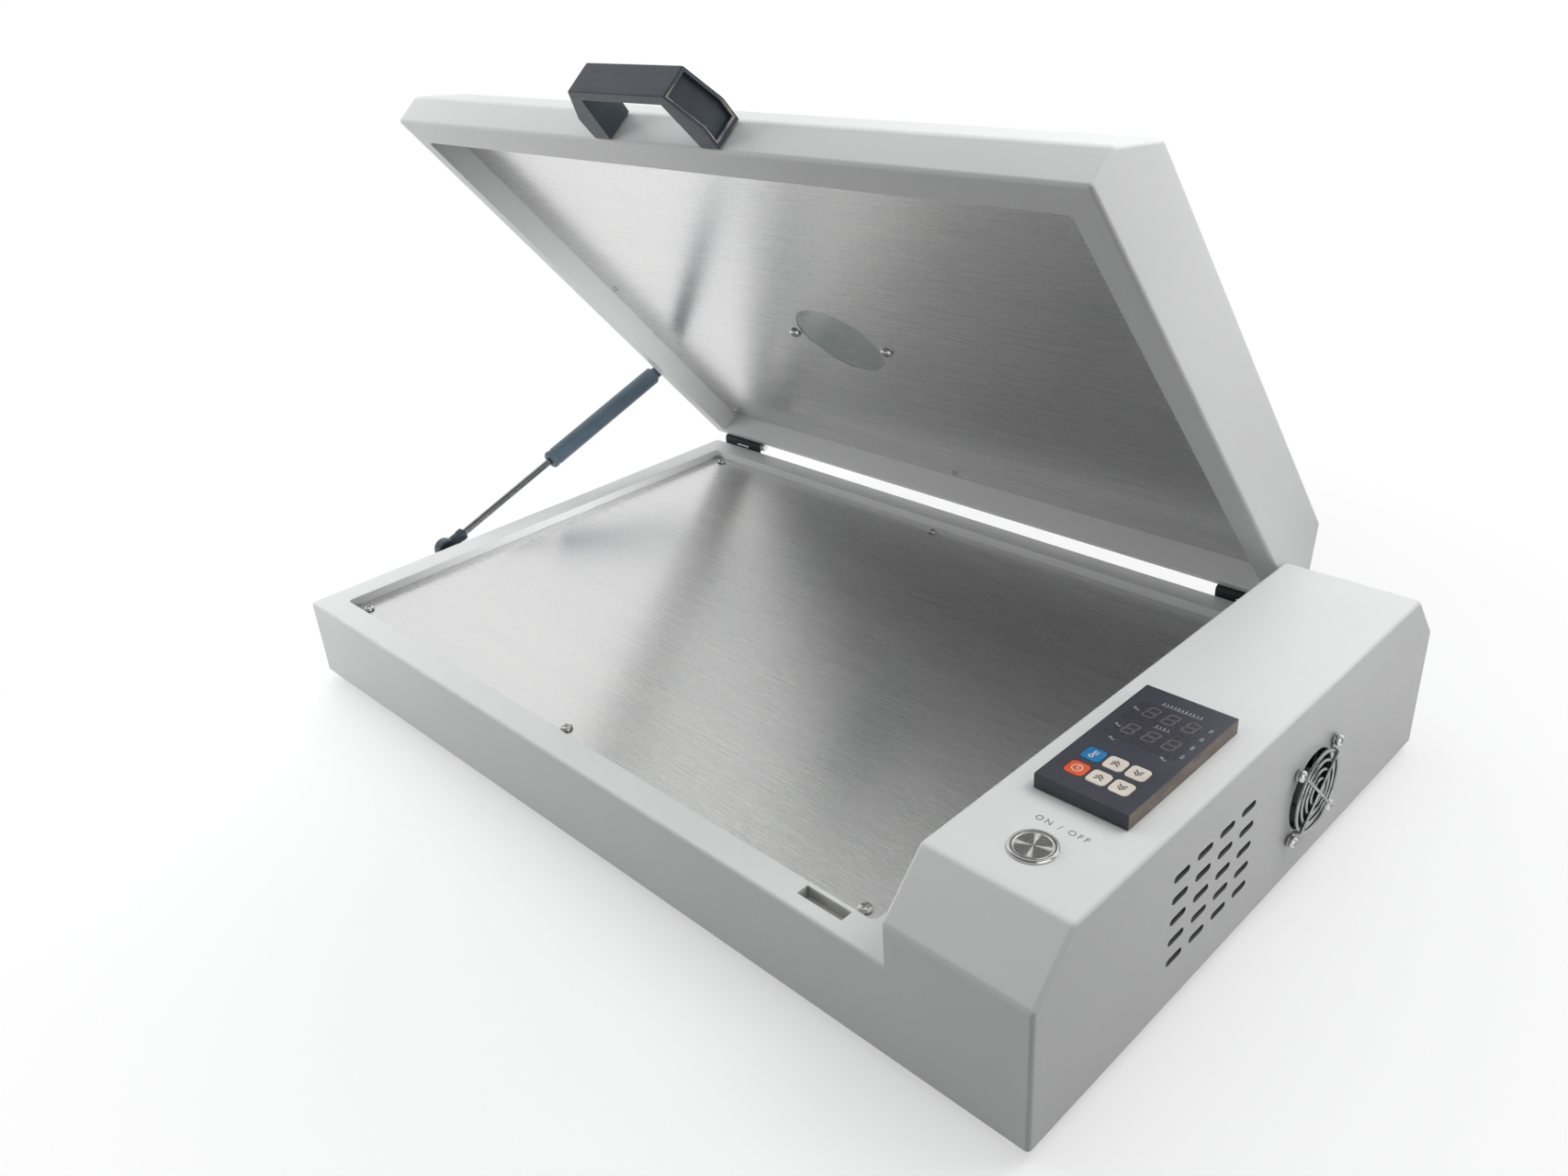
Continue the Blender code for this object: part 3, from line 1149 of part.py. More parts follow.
def fan(mats, root):
    inner = FAN_CENTRE.x - FAN_DEPTH / 2
    outer = FAN_CENTRE.x + FAN_DEPTH / 2
    half = FAN_SIZE / 2
    frame = bmesh.new()
    outline = rounded_rectangle(
        FAN_CENTRE.y - half, FAN_CENTRE.y + half, FAN_CENTRE.z - half, FAN_CENTRE.z + half, FAN_CORNER
    )
    prism(frame, outline, "X", inner, outer)
    cuts = bmesh.new()
    bore = circle(FAN_CENTRE.y, FAN_CENTRE.z, FAN_BORE_RADIUS, LARGE_SIDES)
    prism(cuts, bore, "X", inner - SHEET, outer + SHEET)
    screw_holes(cuts, fan_screw_places(outer), (1, 0, 0), FAN_SCREW, FAN_DEPTH * 2)
    boolean(frame, cuts)
    half_spoke = FAN_SPOKE_WIDTH / 2
    reach = FAN_BORE_RADIUS + half_spoke
    for angle in (math.pi / 4, -math.pi / 4):
        spoke = bmesh.new()
        box(spoke, inner, inner + FAN_SPOKE_DEPTH, -reach, reach, -half_spoke, half_spoke)
        turn = Matrix.Rotation(angle, 4, "X")
        bmesh.ops.transform(spoke, matrix=turn, verts=spoke.verts)
        bmesh.ops.translate(spoke, verts=spoke.verts, vec=(0, FAN_CENTRE.y, FAN_CENTRE.z))
        boolean(frame, spoke, "UNION")
    centre = (inner, FAN_CENTRE.y, FAN_CENTRE.z)
    boss = bmesh.new()
    cylinder(boss, centre, (1, 0, 0), FAN_BOSS_RADIUS, FAN_SPOKE_DEPTH + FAN_BOSS_PROUD, ROUND_SIDES)
    boolean(frame, boss, "UNION")
    bearing = bmesh.new()
    bearing_start = (inner + FAN_BEARING_WALL, FAN_CENTRE.y, FAN_CENTRE.z)
    cylinder(bearing, bearing_start, (1, 0, 0), FAN_SHAFT_RADIUS + RUN_GAP, FAN_DEPTH, SMALL_SIDES)
    boolean(frame, bearing)
    add_node("fan_frame", frame, mats["black"], root)

    hub_low = inner + FAN_SPOKE_DEPTH + FAN_BOSS_PROUD + RUN_GAP
    hub_high = outer - FAN_HUB_RECESS
    rotor = bmesh.new()
    shaft = inner + FAN_BEARING_WALL + RUN_GAP - hub_low
    depth = hub_high - hub_low
    hub = [
        (0.0, shaft), (FAN_SHAFT_RADIUS, shaft), (FAN_SHAFT_RADIUS, 0.0), (FAN_HUB_RADIUS, 0.0),
        (FAN_HUB_RADIUS, depth - FAN_HUB_EDGE), (FAN_HUB_RADIUS - FAN_HUB_EDGE, depth), (0.0, depth),
    ]
    turned(rotor, (hub_low, FAN_CENTRE.y, FAN_CENTRE.z), (1, 0, 0), hub, ROUND_SIDES)
    tip = FAN_BORE_RADIUS - FAN_BLADE_GAP
    for blade in range(FAN_BLADES):
        start = math.tau * blade / FAN_BLADES
        solid = fan_blade(start, tip, hub_low + FAN_BLADE_INSET, hub_high - FAN_BLADE_INSET)
        boolean(rotor, solid, "UNION")
    add_node("fan_rotor", rotor, mats["black"], root, FAN_CENTRE)


def fan_blade(start, tip, x_low, x_high):
    """A blade swept from inside the hub to the tip, pitched along the axis."""
    bm = bmesh.new()
    root_radius = FAN_HUB_RADIUS - FAN_BLADE_THICKNESS
    chord = math.radians(FAN_BLADE_CHORD_DEG)
    sections = []
    for i in range(FAN_BLADE_STATIONS):
        share = i / (FAN_BLADE_STATIONS - 1)
        radius = root_radius + (tip - root_radius) * share
        lead = start + math.radians(FAN_BLADE_SWEEP_DEG) * share
        half_turn = FAN_BLADE_THICKNESS / 2 / radius
        corners = [
            (x_low, lead - half_turn), (x_low, lead + half_turn),
            (x_high, lead + chord + half_turn), (x_high, lead + chord - half_turn),
        ]
        section = []
        for x, angle in corners:
            outward = Vector((0.0, math.cos(angle), math.sin(angle)))
            section.append(bm.verts.new(Vector((x, FAN_CENTRE.y, FAN_CENTRE.z)) + outward * radius))
        sections.append(section)
    faces = [bm.faces.new(sections[0]), bm.faces.new(sections[-1])]
    for first, second in zip(sections, sections[1:]):
        faces += join_sections(bm, first, second)
    bmesh.ops.recalc_face_normals(bm, faces=faces)
    return bm


def fan_guard(mats, root):
    """Wire rings welded to two crossed wires that end in eyes under the corner screws."""
    wire_radius = GUARD_WIRE_RADIUS
    foot_x = RIGHT + SEAT_GAP + wire_radius
    ring_x = RIGHT + GUARD_STANDOFF + wire_radius
    cross_x = ring_x + GUARD_WELD
    corner = FAN_SCREW_PITCH / math.sqrt(2)
    reach = corner - GUARD_EYE_RADIUS + wire_radius / 2
    heel = corner - GUARD_EYE_RADIUS - wire_radius
    bend = GUARD_OUTER_RADIUS + wire_radius
    path = [
        (-reach, foot_x), (-heel, foot_x), (-bend, cross_x), (bend, cross_x), (heel, foot_x), (reach, foot_x),
    ]
    bm = bmesh.new()
    for angle, radius in ((math.pi / 4, wire_radius), (-math.pi / 4, wire_radius * GUARD_SECOND_WIRE)):
        outward = Vector((0, math.cos(angle), math.sin(angle)))
        arm = bmesh.new()
        wire(arm, [Vector((x, FAN_CENTRE.y, FAN_CENTRE.z)) + outward * a for a, x in path], radius)
        boolean(bm, arm, "UNION")
    for i in range(GUARD_RINGS):
        hoop = bmesh.new()
        centre = Vector((ring_x, FAN_CENTRE.y, FAN_CENTRE.z))
        wire_ring(hoop, centre, GUARD_OUTER_RADIUS - i * GUARD_RING_PITCH, wire_radius)
        boolean(bm, hoop, "UNION")
    for seat in fan_screw_places(RIGHT + SEAT_GAP):
        eye = bmesh.new()
        inner = FAN_SCREW[2] + HOLE_GAP
        hollow_cylinder(eye, seat, (1, 0, 0), inner, GUARD_EYE_RADIUS, 2 * wire_radius, SMALL_SIDES)
        boolean(bm, eye, "UNION")
    add_node("fan_guard", bm, mats["chrome"], root)
    seats = fan_screw_places(RIGHT + 2 * SEAT_GAP + 2 * wire_radius)
    add_screws("fan_guard_screw", seats, (1, 0, 0), FAN_SCREW, mats["chrome"], root)


# Mains inlet

def inlet_outline(gap):
    """Outline of the inlet's body, this far outside it all round."""
    half_width = INLET_BODY_WIDTH / 2 + gap
    half_height = INLET_BODY_HEIGHT / 2 + gap
    x = INLET_CENTRE.x
    z = INLET_CENTRE.z
    low = (x - half_width, z - half_height)
    high = (x + half_width, z + half_height)
    return rounded_rectangle(low[0], high[0], low[1], high[1], INLET_BODY_CORNER)


def power_inlet(mats, root):
    flange_y = BACK + SEAT_GAP
    bm = bmesh.new()
    flange = rounded_rectangle(
        INLET_CENTRE.x - INLET_WIDTH / 2, INLET_CENTRE.x + INLET_WIDTH / 2,
        INLET_CENTRE.z - INLET_HEIGHT / 2, INLET_CENTRE.z + INLET_HEIGHT / 2, INLET_FLANGE_CORNER,
    )
    prism(bm, flange, "Y", flange_y, flange_y + INLET_FLANGE)
    body = bmesh.new()
    body_end = flange_y + INLET_FLANGE / 2
    prism(body, inlet_outline(0.0), "Y", body_end - INLET_BODY_DEPTH, body_end)
    boolean(bm, body, "UNION")
    cuts = bmesh.new()
    mouth_low = flange_y + INLET_FLANGE - INLET_MOUTH_DEPTH
    half_w = INLET_MOUTH_WIDTH / 2
    half_h = INLET_MOUTH_HEIGHT / 2
    chamfer = INLET_MOUTH_CHAMFER
    mouth = [
        (-half_w, -half_h), (half_w, -half_h), (half_w, half_h - chamfer), (half_w - chamfer, half_h),
        (-half_w + chamfer, half_h), (-half_w, half_h - chamfer),
    ]
    points = [(INLET_CENTRE.x + a, INLET_CENTRE.z + b) for a, b in mouth]
    prism(cuts, points, "Y", mouth_low, flange_y + 2 * INLET_FLANGE)
    boolean(bm, cuts)
    for column, rise in ((-1, -INLET_PIN_RISE), (0, INLET_PIN_RISE), (1, -INLET_PIN_RISE)):
        x = INLET_CENTRE.x + column * INLET_PIN_PITCH
        z = INLET_CENTRE.z + rise
        pin = bmesh.new()
        box(
            pin, x - INLET_PIN_WIDTH / 2, x + INLET_PIN_WIDTH / 2, mouth_low - INLET_PIN_ROOT,
            mouth_low + INLET_PIN_LENGTH, z - INLET_PIN_HEIGHT / 2, z + INLET_PIN_HEIGHT / 2,
        )
        boolean(bm, pin, "UNION")
    add_node("power_inlet", bm, mats["black"], root)


# Electronics

def electronics(mats, root):
    x = POD_MID - FAN_DEPTH / 2
    floor = BASE_Z
    board_z = floor + STANDOFF_HEIGHT
    y = BACK - BOARD_FROM_BACK
    board = bmesh.new()
    half = BOARD_WIDTH / 2
    box(board, x - half, x + half, y, y + BOARD_LENGTH, board_z, board_z + BOARD_THICKNESS)
    parts = bmesh.new()
    low = board_z + BOARD_THICKNESS - SOLDER_SINK
    start = y + PIECES_FROM_END
    quarter = BOARD_WIDTH / 4
    for centre, (width, length, height) in ((x - quarter, TRANSFORMER), (x + quarter, DRIVER)):
        box(parts, centre - width / 2, centre + width / 2, start, start + length, low, low + height)
    for i in range(CAPACITORS):
        across_board = x + (i - (CAPACITORS - 1) / 2) * CAPACITOR_PITCH
        seat = (across_board, y + CAPACITOR_FROM_END, low)
        cylinder(parts, seat, (0, 0, 1), CAPACITOR_RADIUS, CAPACITOR_HEIGHT, SMALL_SIDES)
    half -= STANDOFF_INSET
    length = STANDOFF_HEIGHT + SOLDER_SINK
    for px in (x - half, x + half):
        for py in (y + STANDOFF_INSET, y + BOARD_LENGTH - STANDOFF_INSET):
            cylinder(parts, (px, py, floor), (0, 0, 1), STANDOFF_RADIUS, length, SMALL_SIDES)
    boolean(board, parts, "UNION")
    add_node("control_board", board, mats["board"], root)
    relay = bmesh.new()
    y = FRONT + RELAY_FROM_FRONT
    half = RELAY_WIDTH / 2
    box(relay, POD_MID - half, POD_MID + half, y, y + RELAY_LENGTH, floor, floor + RELAY_HEIGHT)
    add_node("heater_relay", relay, mats["black"], root)
    y = BACK - TERMINAL_FROM_BACK
    block = bmesh.new()
    left = POD_MID - TERMINAL_WIDTH / 2
    box(block, left, left + TERMINAL_WIDTH, y, y + TERMINAL_LENGTH, floor, floor + TERMINAL_HEIGHT)
    pockets = bmesh.new()
    pitch = TERMINAL_WIDTH / TERMINAL_POLES
    wall = TERMINAL_WALL
    top = floor + TERMINAL_HEIGHT
    for pole in range(TERMINAL_POLES):
        low = left + pole * pitch
        box(
            pockets, low + wall, low + pitch - wall, y + wall, y + TERMINAL_LENGTH - wall,
            top - TERMINAL_POCKET, top + wall,
        )
    add_node("terminal_block", boolean(block, pockets), mats["cream"], root)


def stand_on_origin(root):
    """Move everything so that the origin is at the bottom centre of the whole object."""
    bpy.context.view_layer.update()
    corners = []
    for item in bpy.context.scene.objects:
        if item.type == "MESH":
            corners += [item.matrix_world @ v.co for v in item.data.vertices]
    low = Vector([min(c[i] for c in corners) for i in range(3)])
    high = Vector([max(c[i] for c in corners) for i in range(3)])
    root.location = (-(low.x + high.x) / 2, -(low.y + high.y) / 2, -low.z)


def main():
    for item in list(bpy.data.objects):
        bpy.data.objects.remove(item)
    mats = make_materials()
    root = add_empty("oven", None, (0, 0, 0))
    lid_axis = add_empty("lid_axis", root, HINGE, -LID_OPEN)
    base_housing(mats, root)
    underside(mats, root)
    heated_bed(mats, root)
    lid(mats, lid_axis)
    vent_disc(mats, lid_axis)
    handle(mats, lid_axis)
    hinges(mats, root, lid_axis)
    gas_strut(mats, root, lid_axis)
    controller(mats, root)
    power_button(mats, root)
    fan(mats, root)
    fan_guard(mats, root)
    power_inlet(mats, root)
    electronics(mats, root)
    stand_on_origin(root)


main()
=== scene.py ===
"""Looks of the bench-top clam-shell oven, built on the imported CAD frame."""
import json
import math

import bmesh
import bpy
from mathutils import Matrix, Vector
from mathutils.bvhtree import BVHTree

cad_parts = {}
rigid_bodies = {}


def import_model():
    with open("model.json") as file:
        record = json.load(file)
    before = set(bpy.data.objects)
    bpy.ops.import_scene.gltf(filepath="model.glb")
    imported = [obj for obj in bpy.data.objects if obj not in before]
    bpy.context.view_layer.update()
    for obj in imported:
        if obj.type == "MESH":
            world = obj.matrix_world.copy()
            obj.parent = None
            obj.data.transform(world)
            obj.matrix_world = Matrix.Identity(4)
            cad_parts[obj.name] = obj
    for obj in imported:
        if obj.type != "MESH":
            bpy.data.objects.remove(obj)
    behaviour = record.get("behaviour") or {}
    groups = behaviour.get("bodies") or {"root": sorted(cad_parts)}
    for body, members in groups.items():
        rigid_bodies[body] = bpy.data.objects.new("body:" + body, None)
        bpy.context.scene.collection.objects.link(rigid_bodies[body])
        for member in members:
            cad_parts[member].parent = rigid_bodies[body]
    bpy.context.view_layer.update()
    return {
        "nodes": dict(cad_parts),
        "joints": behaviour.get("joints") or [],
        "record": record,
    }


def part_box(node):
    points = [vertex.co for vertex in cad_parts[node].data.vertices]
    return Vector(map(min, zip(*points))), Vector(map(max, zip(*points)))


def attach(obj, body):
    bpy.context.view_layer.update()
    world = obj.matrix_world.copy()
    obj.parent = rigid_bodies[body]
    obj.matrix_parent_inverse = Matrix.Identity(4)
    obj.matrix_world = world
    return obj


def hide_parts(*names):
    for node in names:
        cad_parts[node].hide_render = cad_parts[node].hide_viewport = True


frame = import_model()

# Camera, fitted to the photograph: the pose is given from the casing's front right lower corner
FOCAL_PIXELS = 1374.885
IMAGE_WIDTH = 1707
SENSOR_WIDTH = 36.0
CAMERA_FROM_CORNER = Vector((0.19650, -0.29768, 0.44833))
CAMERA_AZIMUTH = math.radians(46.8592)
CAMERA_ELEVATION = math.radians(27.5319)
CAMERA_ROLL = math.radians(-4.1133)
CAMERA_NEAR = 0.01

# Sizes of the pieces that the scene adds or makes finer, in metres
MERGE = 1e-6    # points closer than this become one
STRAIGHT = 1e-12    # cross product of two steps on a straight line
FLAT_ANGLE = math.radians(0.5)    # faces that meet at less become one
MARK_LIFT = -0.00003    # marks are sunk a little into what carries them
MARK_HEIGHT = 0.00012
MARK_TOP = MARK_LIFT + MARK_HEIGHT
DIGIT_WIDTH = 0.0052
DIGIT_HEIGHT = 0.0084
DIGIT_STROKE = 0.0010
DIGIT_GAP = 0.62 * DIGIT_STROKE
DIGIT_SLANT = math.tan(math.radians(7))
LETTER_SIZE = 0.0047
LETTER_SPACING = 1.42
# the button face's bright spokes are painted highlights in its colour
HIGHLIGHT_SPOKE_TURN = math.radians(20)    # bright spokes of the spun button face, from the X axis
SCREW_SIDES = 32
ROUND_SIDES = 64
WIRE_SIDES = 12
HOOP_STEPS = 96
EYE_STEPS = 36

# Search for faces that are shut in
RAY_COUNT = 64
GOLDEN_ANGLE = math.pi * (3 - math.sqrt(5))
RAY_START = 0.0001
RAY_SLOPE = 0.1
OPEN_SHARE = 0.12

NODES = frame["nodes"]
JOINTS = {joint["name"]: joint for joint in frame["joints"]}
BODY_OF = {n: b for b, members in frame["record"]["behaviour"]["bodies"].items() for n in members}
HINGE = Vector(JOINTS["lid_hinge"]["pos_m"])
LID_OPEN = math.radians(JOINTS["lid_hinge"]["range_deg"][1])
LID_TURN = Matrix.Translation(HINGE) @ Matrix.Rotation(-LID_OPEN, 4, "X") @ Matrix.Translation(-HINGE)
UNTURNED = Matrix.Identity(4)
UP = Vector((0, 0, 1))
DOWN = Vector((0, 0, -1))
LEFTWARD = Vector((-1, 0, 0))
RIGHTWARD = Vector((1, 0, 0))
BACKWARD = Vector((0, 1, 0))
LID_OUT = LID_TURN.to_3x3() @ DOWN
LID_BACKWARD = LID_TURN.to_3x3() @ BACKWARD


# Shapes

def box_in(node, matrix):
    """Lowest and highest corner of a node in the frame that the matrix leads out of."""
    back = matrix.inverted()
    points = [back @ v.co for v in NODES[node].data.vertices]
    low = Vector([min(p[i] for p in points) for i in range(3)])
    high = Vector([max(p[i] for p in points) for i in range(3)])
    return low, high


def top_of(node):
    """Matrix that stands on the middle of a node's top."""
    low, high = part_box(node)
    return Matrix.Translation(((low.x + high.x) / 2, (low.y + high.y) / 2, high.z))


def along(origin, direction):
    """Matrix that takes local Z to the direction, at the origin."""
    return Matrix.Translation(origin) @ Vector(direction).to_track_quat("Z", "Y").to_matrix().to_4x4()


def turns_of(steps):
    """Angles that divide a full turn evenly."""
    return [2 * math.pi * k / steps for k in range(steps)]


def rectangle(low_x, low_y, high_x, high_y, margin=0.0):
    """Outline of a rectangle, widened by the margin."""
    left, front, right, back = low_x - margin, low_y - margin, high_x + margin, high_y + margin
    return [(left, front), (right, front), (right, back), (left, back)]


def bridge(bm, rings, closed=False):
    """Faces from each ring of points to the next, and from the last to the first where closed."""
    for low, high in zip(rings, rings[1:] + rings[:1] if closed else rings[1:]):
        for k in range(len(low)):
            n = (k + 1) % len(low)
            corners = list(dict.fromkeys((low[k], low[n], high[n], high[k])))
            if len(corners) > 2:
                bm.faces.new(corners)


def lathe(bm, matrix, profile, sides, closed=False):
    """Turns a profile of (radius, height) pairs round local Z."""
    rings = []
    for radius, height in profile:
        if radius == 0.0:
            rings.append([bm.verts.new(matrix @ Vector((0, 0, height)))] * sides)
            continue
        points = [(radius * math.cos(a), radius * math.sin(a), height) for a in turns_of(sides)]
        rings.append([bm.verts.new(matrix @ Vector(p)) for p in points])
    bridge(bm, rings, closed)


def tube(bm, points, radius, sides, closed=False):
    """A round wire along points in one plane."""
    count = len(points)
    steps = [after - before for before, after in zip(points, points[1:])]
    crosses = (first.cross(second) for first, second in zip(steps, steps[1:]))
    normal = next(cross.normalized() for cross in crosses if cross.length > STRAIGHT)
    rings = []
    for k, point in enumerate(points):
        before = points[k - 1] if closed or k else points[k]
        after = points[(k + 1) % count] if closed or k < count - 1 else points[k]
        way = (after - before).normalized()
        side = way.cross(normal)
        rings.append([
            bm.verts.new(point + radius * (math.cos(a) * side + math.sin(a) * normal))
            for a in turns_of(sides)
        ])
    bridge(bm, rings, closed)
    if not closed:
        bm.faces.new(rings[0])
        bm.faces.new(rings[-1])


def loft(bm, lower, upper):
    """A closed shape between two outlines with as many points."""
    rings = [[bm.verts.new(point) for point in outline] for outline in (lower, upper)]
    for ring in rings:
        bm.faces.new(ring)
    bridge(bm, rings)


def prism(bm, outline, matrix, low, high):
    """A flat shape given by its outline, between two local heights."""
    loft(bm, *([matrix @ Vector((x, y, level)) for x, y in outline] for level in (low, high)))


def stroke(start, end, width):
    """Outline of a straight stroke with pointed ends."""
    start, end = Vector(start), Vector(end)
    way = (end - start).normalized()
    side = Vector((-way.y, way.x)) * width / 2
    tip = way * width / 2
    return [start - tip, start + side, end + side, end + tip, end - side, start - side]


def new_object(name, data):
    """An object that stands in the scene."""
    made = bpy.data.objects.new(name, data)
    bpy.context.scene.collection.objects.link(made)
    return made


def carve(bm, tool, operation="DIFFERENCE"):
    """Cuts the tool from the shape, or joins it on, and frees the tool."""
    objects = []
    for source in (bm, tool):
        bmesh.ops.recalc_face_normals(source, faces=source.faces)
        mesh = bpy.data.meshes.new("carving")
        source.to_mesh(mesh)
        objects.append(new_object("carving", mesh))
    cut = objects[0].modifiers.new("cut", "BOOLEAN")
    cut.object = objects[1]
    cut.operation = operation
    cut.solver = "EXACT"
    graph = bpy.context.evaluated_depsgraph_get()
    result = bpy.data.meshes.new_from_object(objects[0].evaluated_get(graph))
    bm.clear()
    bm.from_mesh(result)
    bmesh.ops.remove_doubles(bm, verts=bm.verts, dist=MERGE)
    bmesh.ops.dissolve_degenerate(bm, dist=MERGE, edges=bm.edges)
    for obj in objects:
        mesh = obj.data
        bpy.data.objects.remove(obj)
        bpy.data.meshes.remove(mesh)
    bpy.data.meshes.remove(result)
    tool.free()


def finish_mesh(name, bm, material, smooth_deg):
    """Mesh with smooth faces, and sharp edges where they meet at more than the angle."""
    limit = math.radians(smooth_deg)
    for edge in bm.edges:
        edge.smooth = len(edge.link_faces) == 2 and edge.calc_face_angle(math.pi) < limit
    for face in bm.faces:
        face.smooth = True
    mesh = bpy.data.meshes.new(name)
    bm.to_mesh(mesh)
    bm.free()
    mesh.materials.append(material)
    return mesh


def add_piece(name, mesh, body, replaces=(), matrix=None):
    """Stands a mesh in the scene, on a body of the part."""
    piece = new_object(name, mesh)
    if matrix is not None:
        piece.matrix_world = matrix
    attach(piece, body)
    if replaces:
        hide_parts(*replaces)
    return piece


def add_shape(name, bm, slot, body, replaces=(), smooth_deg=35.0, material=None):
    """Makes a piece of a finished shape and frees the shape."""
    bmesh.ops.recalc_face_normals(bm, faces=bm.faces)
    mesh = finish_mesh(name, bm, material or LOOKS[slot], smooth_deg)
    add_piece(name, mesh, body, replaces)


def cad_slot(node):
    """Name of the material slot that a CAD node has."""
    return NODES[node].data.materials[0].name.split(".")[0]


def enclosed_faces(bm, walls):
    """Numbers of the faces from which hardly any straight line gets out past the walls."""
    shut = bmesh.new()
    for node in walls:
        shut.from_mesh(NODES[node].data)
    tree = BVHTree.FromBMesh(shut)
    shut.free()
    ways = []
    for k in range(RAY_COUNT):
        height = 1 - (2 * k + 1) / RAY_COUNT
        flat = math.sqrt(1 - height * height)
        turn = k * GOLDEN_ANGLE
        ways.append(Vector((flat * math.cos(turn), flat * math.sin(turn), height)))
    found = []
    bm.faces.index_update()
    for face in bm.faces:
        start = face.calc_center_median() + face.normal * RAY_START
        forward = [way for way in ways if way.dot(face.normal) > RAY_SLOPE]
        free = sum(tree.ray_cast(start, way)[0] is None for way in forward)
        if free < OPEN_SHARE * len(forward):
            found.append(face.index)
    return found


def dress(
    node, bevel=0.0, smooth_deg=35.0, material=None, brush=None, walls=None, more=None,
    bevel_deg=50.0, accent=None, accented=None, slot_walls=None,
):
    """Stands a smoothly shaded copy of a CAD node in its place, with more shape joined on.

    Faces shut in by the walls get painted shade, near black. Bevelled edges take the accent, or else the
    faces whose middle passes the accented test. Faces that pass the slot_walls test, the cut edges of
    openings, get painted shade in dark grey.
    """
    bm = bmesh.new()
    bm.from_mesh(NODES[node].data)
    bmesh.ops.remove_doubles(bm, verts=bm.verts, dist=MERGE)
    if more is not None:
        carve(bm, more, "UNION")
    bmesh.ops.dissolve_limit(bm, angle_limit=FLAT_ANGLE, verts=bm.verts, edges=bm.edges)
    if bevel:
        least = math.radians(bevel_deg)
        edges = [e for e in bm.edges if e.is_convex and e.calc_face_angle(0.0) > least]
        bmesh.ops.bevel(
            bm, geom=edges, offset=bevel, segments=2, profile=0.5, affect="EDGES", clamp_overlap=True,
            material=1 if accent and not accented else 0,
        )
    if brush is not None:
        back = brush.inverted()
        layer = bm.loops.layers.uv.new("brush")
        for face in bm.faces:
            for loop in face.loops:
                point = back @ loop.vert.co
                loop[layer].uv = (point.y, point.x)
    slot = cad_slot(node)
    # faces shut in by the walls get painted shade
    inner = enclosed_faces(bm, walls) if walls else []
    # walls of openings that pass the slot_walls test get painted shade
    if slot_walls:
        for face in bm.faces:
            face.material_index = 2 * slot_walls(face.calc_center_median(), face.normal)
    if accented:
        for face in bm.faces:
            face.material_index = int(accented(face.calc_center_median()))
    mesh = finish_mesh(f"{node}_dressed", bm, material or LOOKS[slot], smooth_deg)
    if inner or accent:
        mesh.materials.append(accent or INSIDE_SHADE_LOOK)
    if slot_walls:
        mesh.materials.append(SLOT_WALL_SHADE)
    for face in (mesh.polygons[number] for number in inner):
        if face.material_index == 0:
            face.material_index = 1
    piece = add_piece(f"{node}_dressed", mesh, BODY_OF[node], (node,))
    weights = piece.modifiers.new("even_normals", "WEIGHTED_NORMAL")
    weights.keep_sharp = True


def hit(node, origin, direction):
    """Where a straight line first meets a node."""
    bm = bmesh.new()
    bm.from_mesh(NODES[node].data)
    point = BVHTree.FromBMesh(bm).ray_cast(Vector(origin), Vector(direction))[0]
    bm.free()
    return point


# Materials

NOISE_LOW = 0.3    # most of a noise lies between these
NOISE_HIGH = 0.7


def shader_of(mat):
    """The main shader of a material."""
    return mat.node_tree.nodes["Principled BSDF"]


def make_material(name, colour, roughness, metallic=0.0, sockets=None):
    """Plain material with constants on the shader's own sockets."""
    mat = bpy.data.materials.new(name)
    mat.use_nodes = True
    inputs = shader_of(mat).inputs
    inputs["Base Color"].default_value = (*colour, 1.0)
    inputs["Roughness"].default_value = roughness
    inputs["Metallic"].default_value = metallic
    for socket, value in (sockets or {}).items():
        inputs[socket].default_value = value
    return mat


def add_node(tree, kind, inputs, **settings):
    """A shader node. Each of its inputs is a constant or comes from another node."""
    node = tree.nodes.new(kind)
    for setting, value in settings.items():
        setattr(node, setting, value)
    for socket, value in inputs.items():
        if isinstance(value, bpy.types.NodeSocket):
            tree.links.new(value, node.inputs[socket])
        else:
            node.inputs[socket].default_value = value
    return node


def coordinates(tree, kind):
    """A place or direction at the shaded point: Object, Normal or Generated."""
    return add_node(tree, "ShaderNodeTexCoord", {}).outputs[kind]


def parts_of(tree, vector):
    """The X, Y and Z of a vector."""
    return add_node(tree, "ShaderNodeSeparateXYZ", {0: vector}).outputs


def compute(tree, operation, *values):
    """Result of a sum on sockets or numbers."""
    return add_node(tree, "ShaderNodeMath", dict(enumerate(values)), operation=operation).outputs[0]


def measure(tree, operation, *vectors):
    """Length or dot product of vectors."""
    made = add_node(tree, "ShaderNodeVectorMath", dict(enumerate(vectors)), operation=operation)
    return made.outputs["Value"]


def map_range(tree, value, start, end, low, high, kind="LINEAR"):
    """Number between low and high while the value goes from start to end."""
    return add_node(tree, "ShaderNodeMapRange", {
        "Value": value, "From Min": start, "From Max": end, "To Min": low, "To Max": high,
    }, interpolation_type=kind).outputs["Result"]


def mix(tree, factor, first, second, kind="FLOAT"):
    """The first number or colour where the factor is 0, the second where it is 1."""
    inputs = {"Factor": factor, "A": first, "B": second}
    return add_node(tree, "ShaderNodeMix", inputs, data_type=kind).outputs["Result"]


def noise(mat, scale, stretch=(1, 1, 1), detail=3.0):
    """Factor of a noise texture in the piece's own coordinates."""
    tree = mat.node_tree
    place = add_node(tree, "ShaderNodeMapping", {"Vector": coordinates(tree, "Object"), "Scale": stretch})
    inputs = {"Vector": place.outputs["Vector"], "Scale": scale, "Detail": detail}
    return add_node(tree, "ShaderNodeTexNoise", inputs).outputs["Fac"]


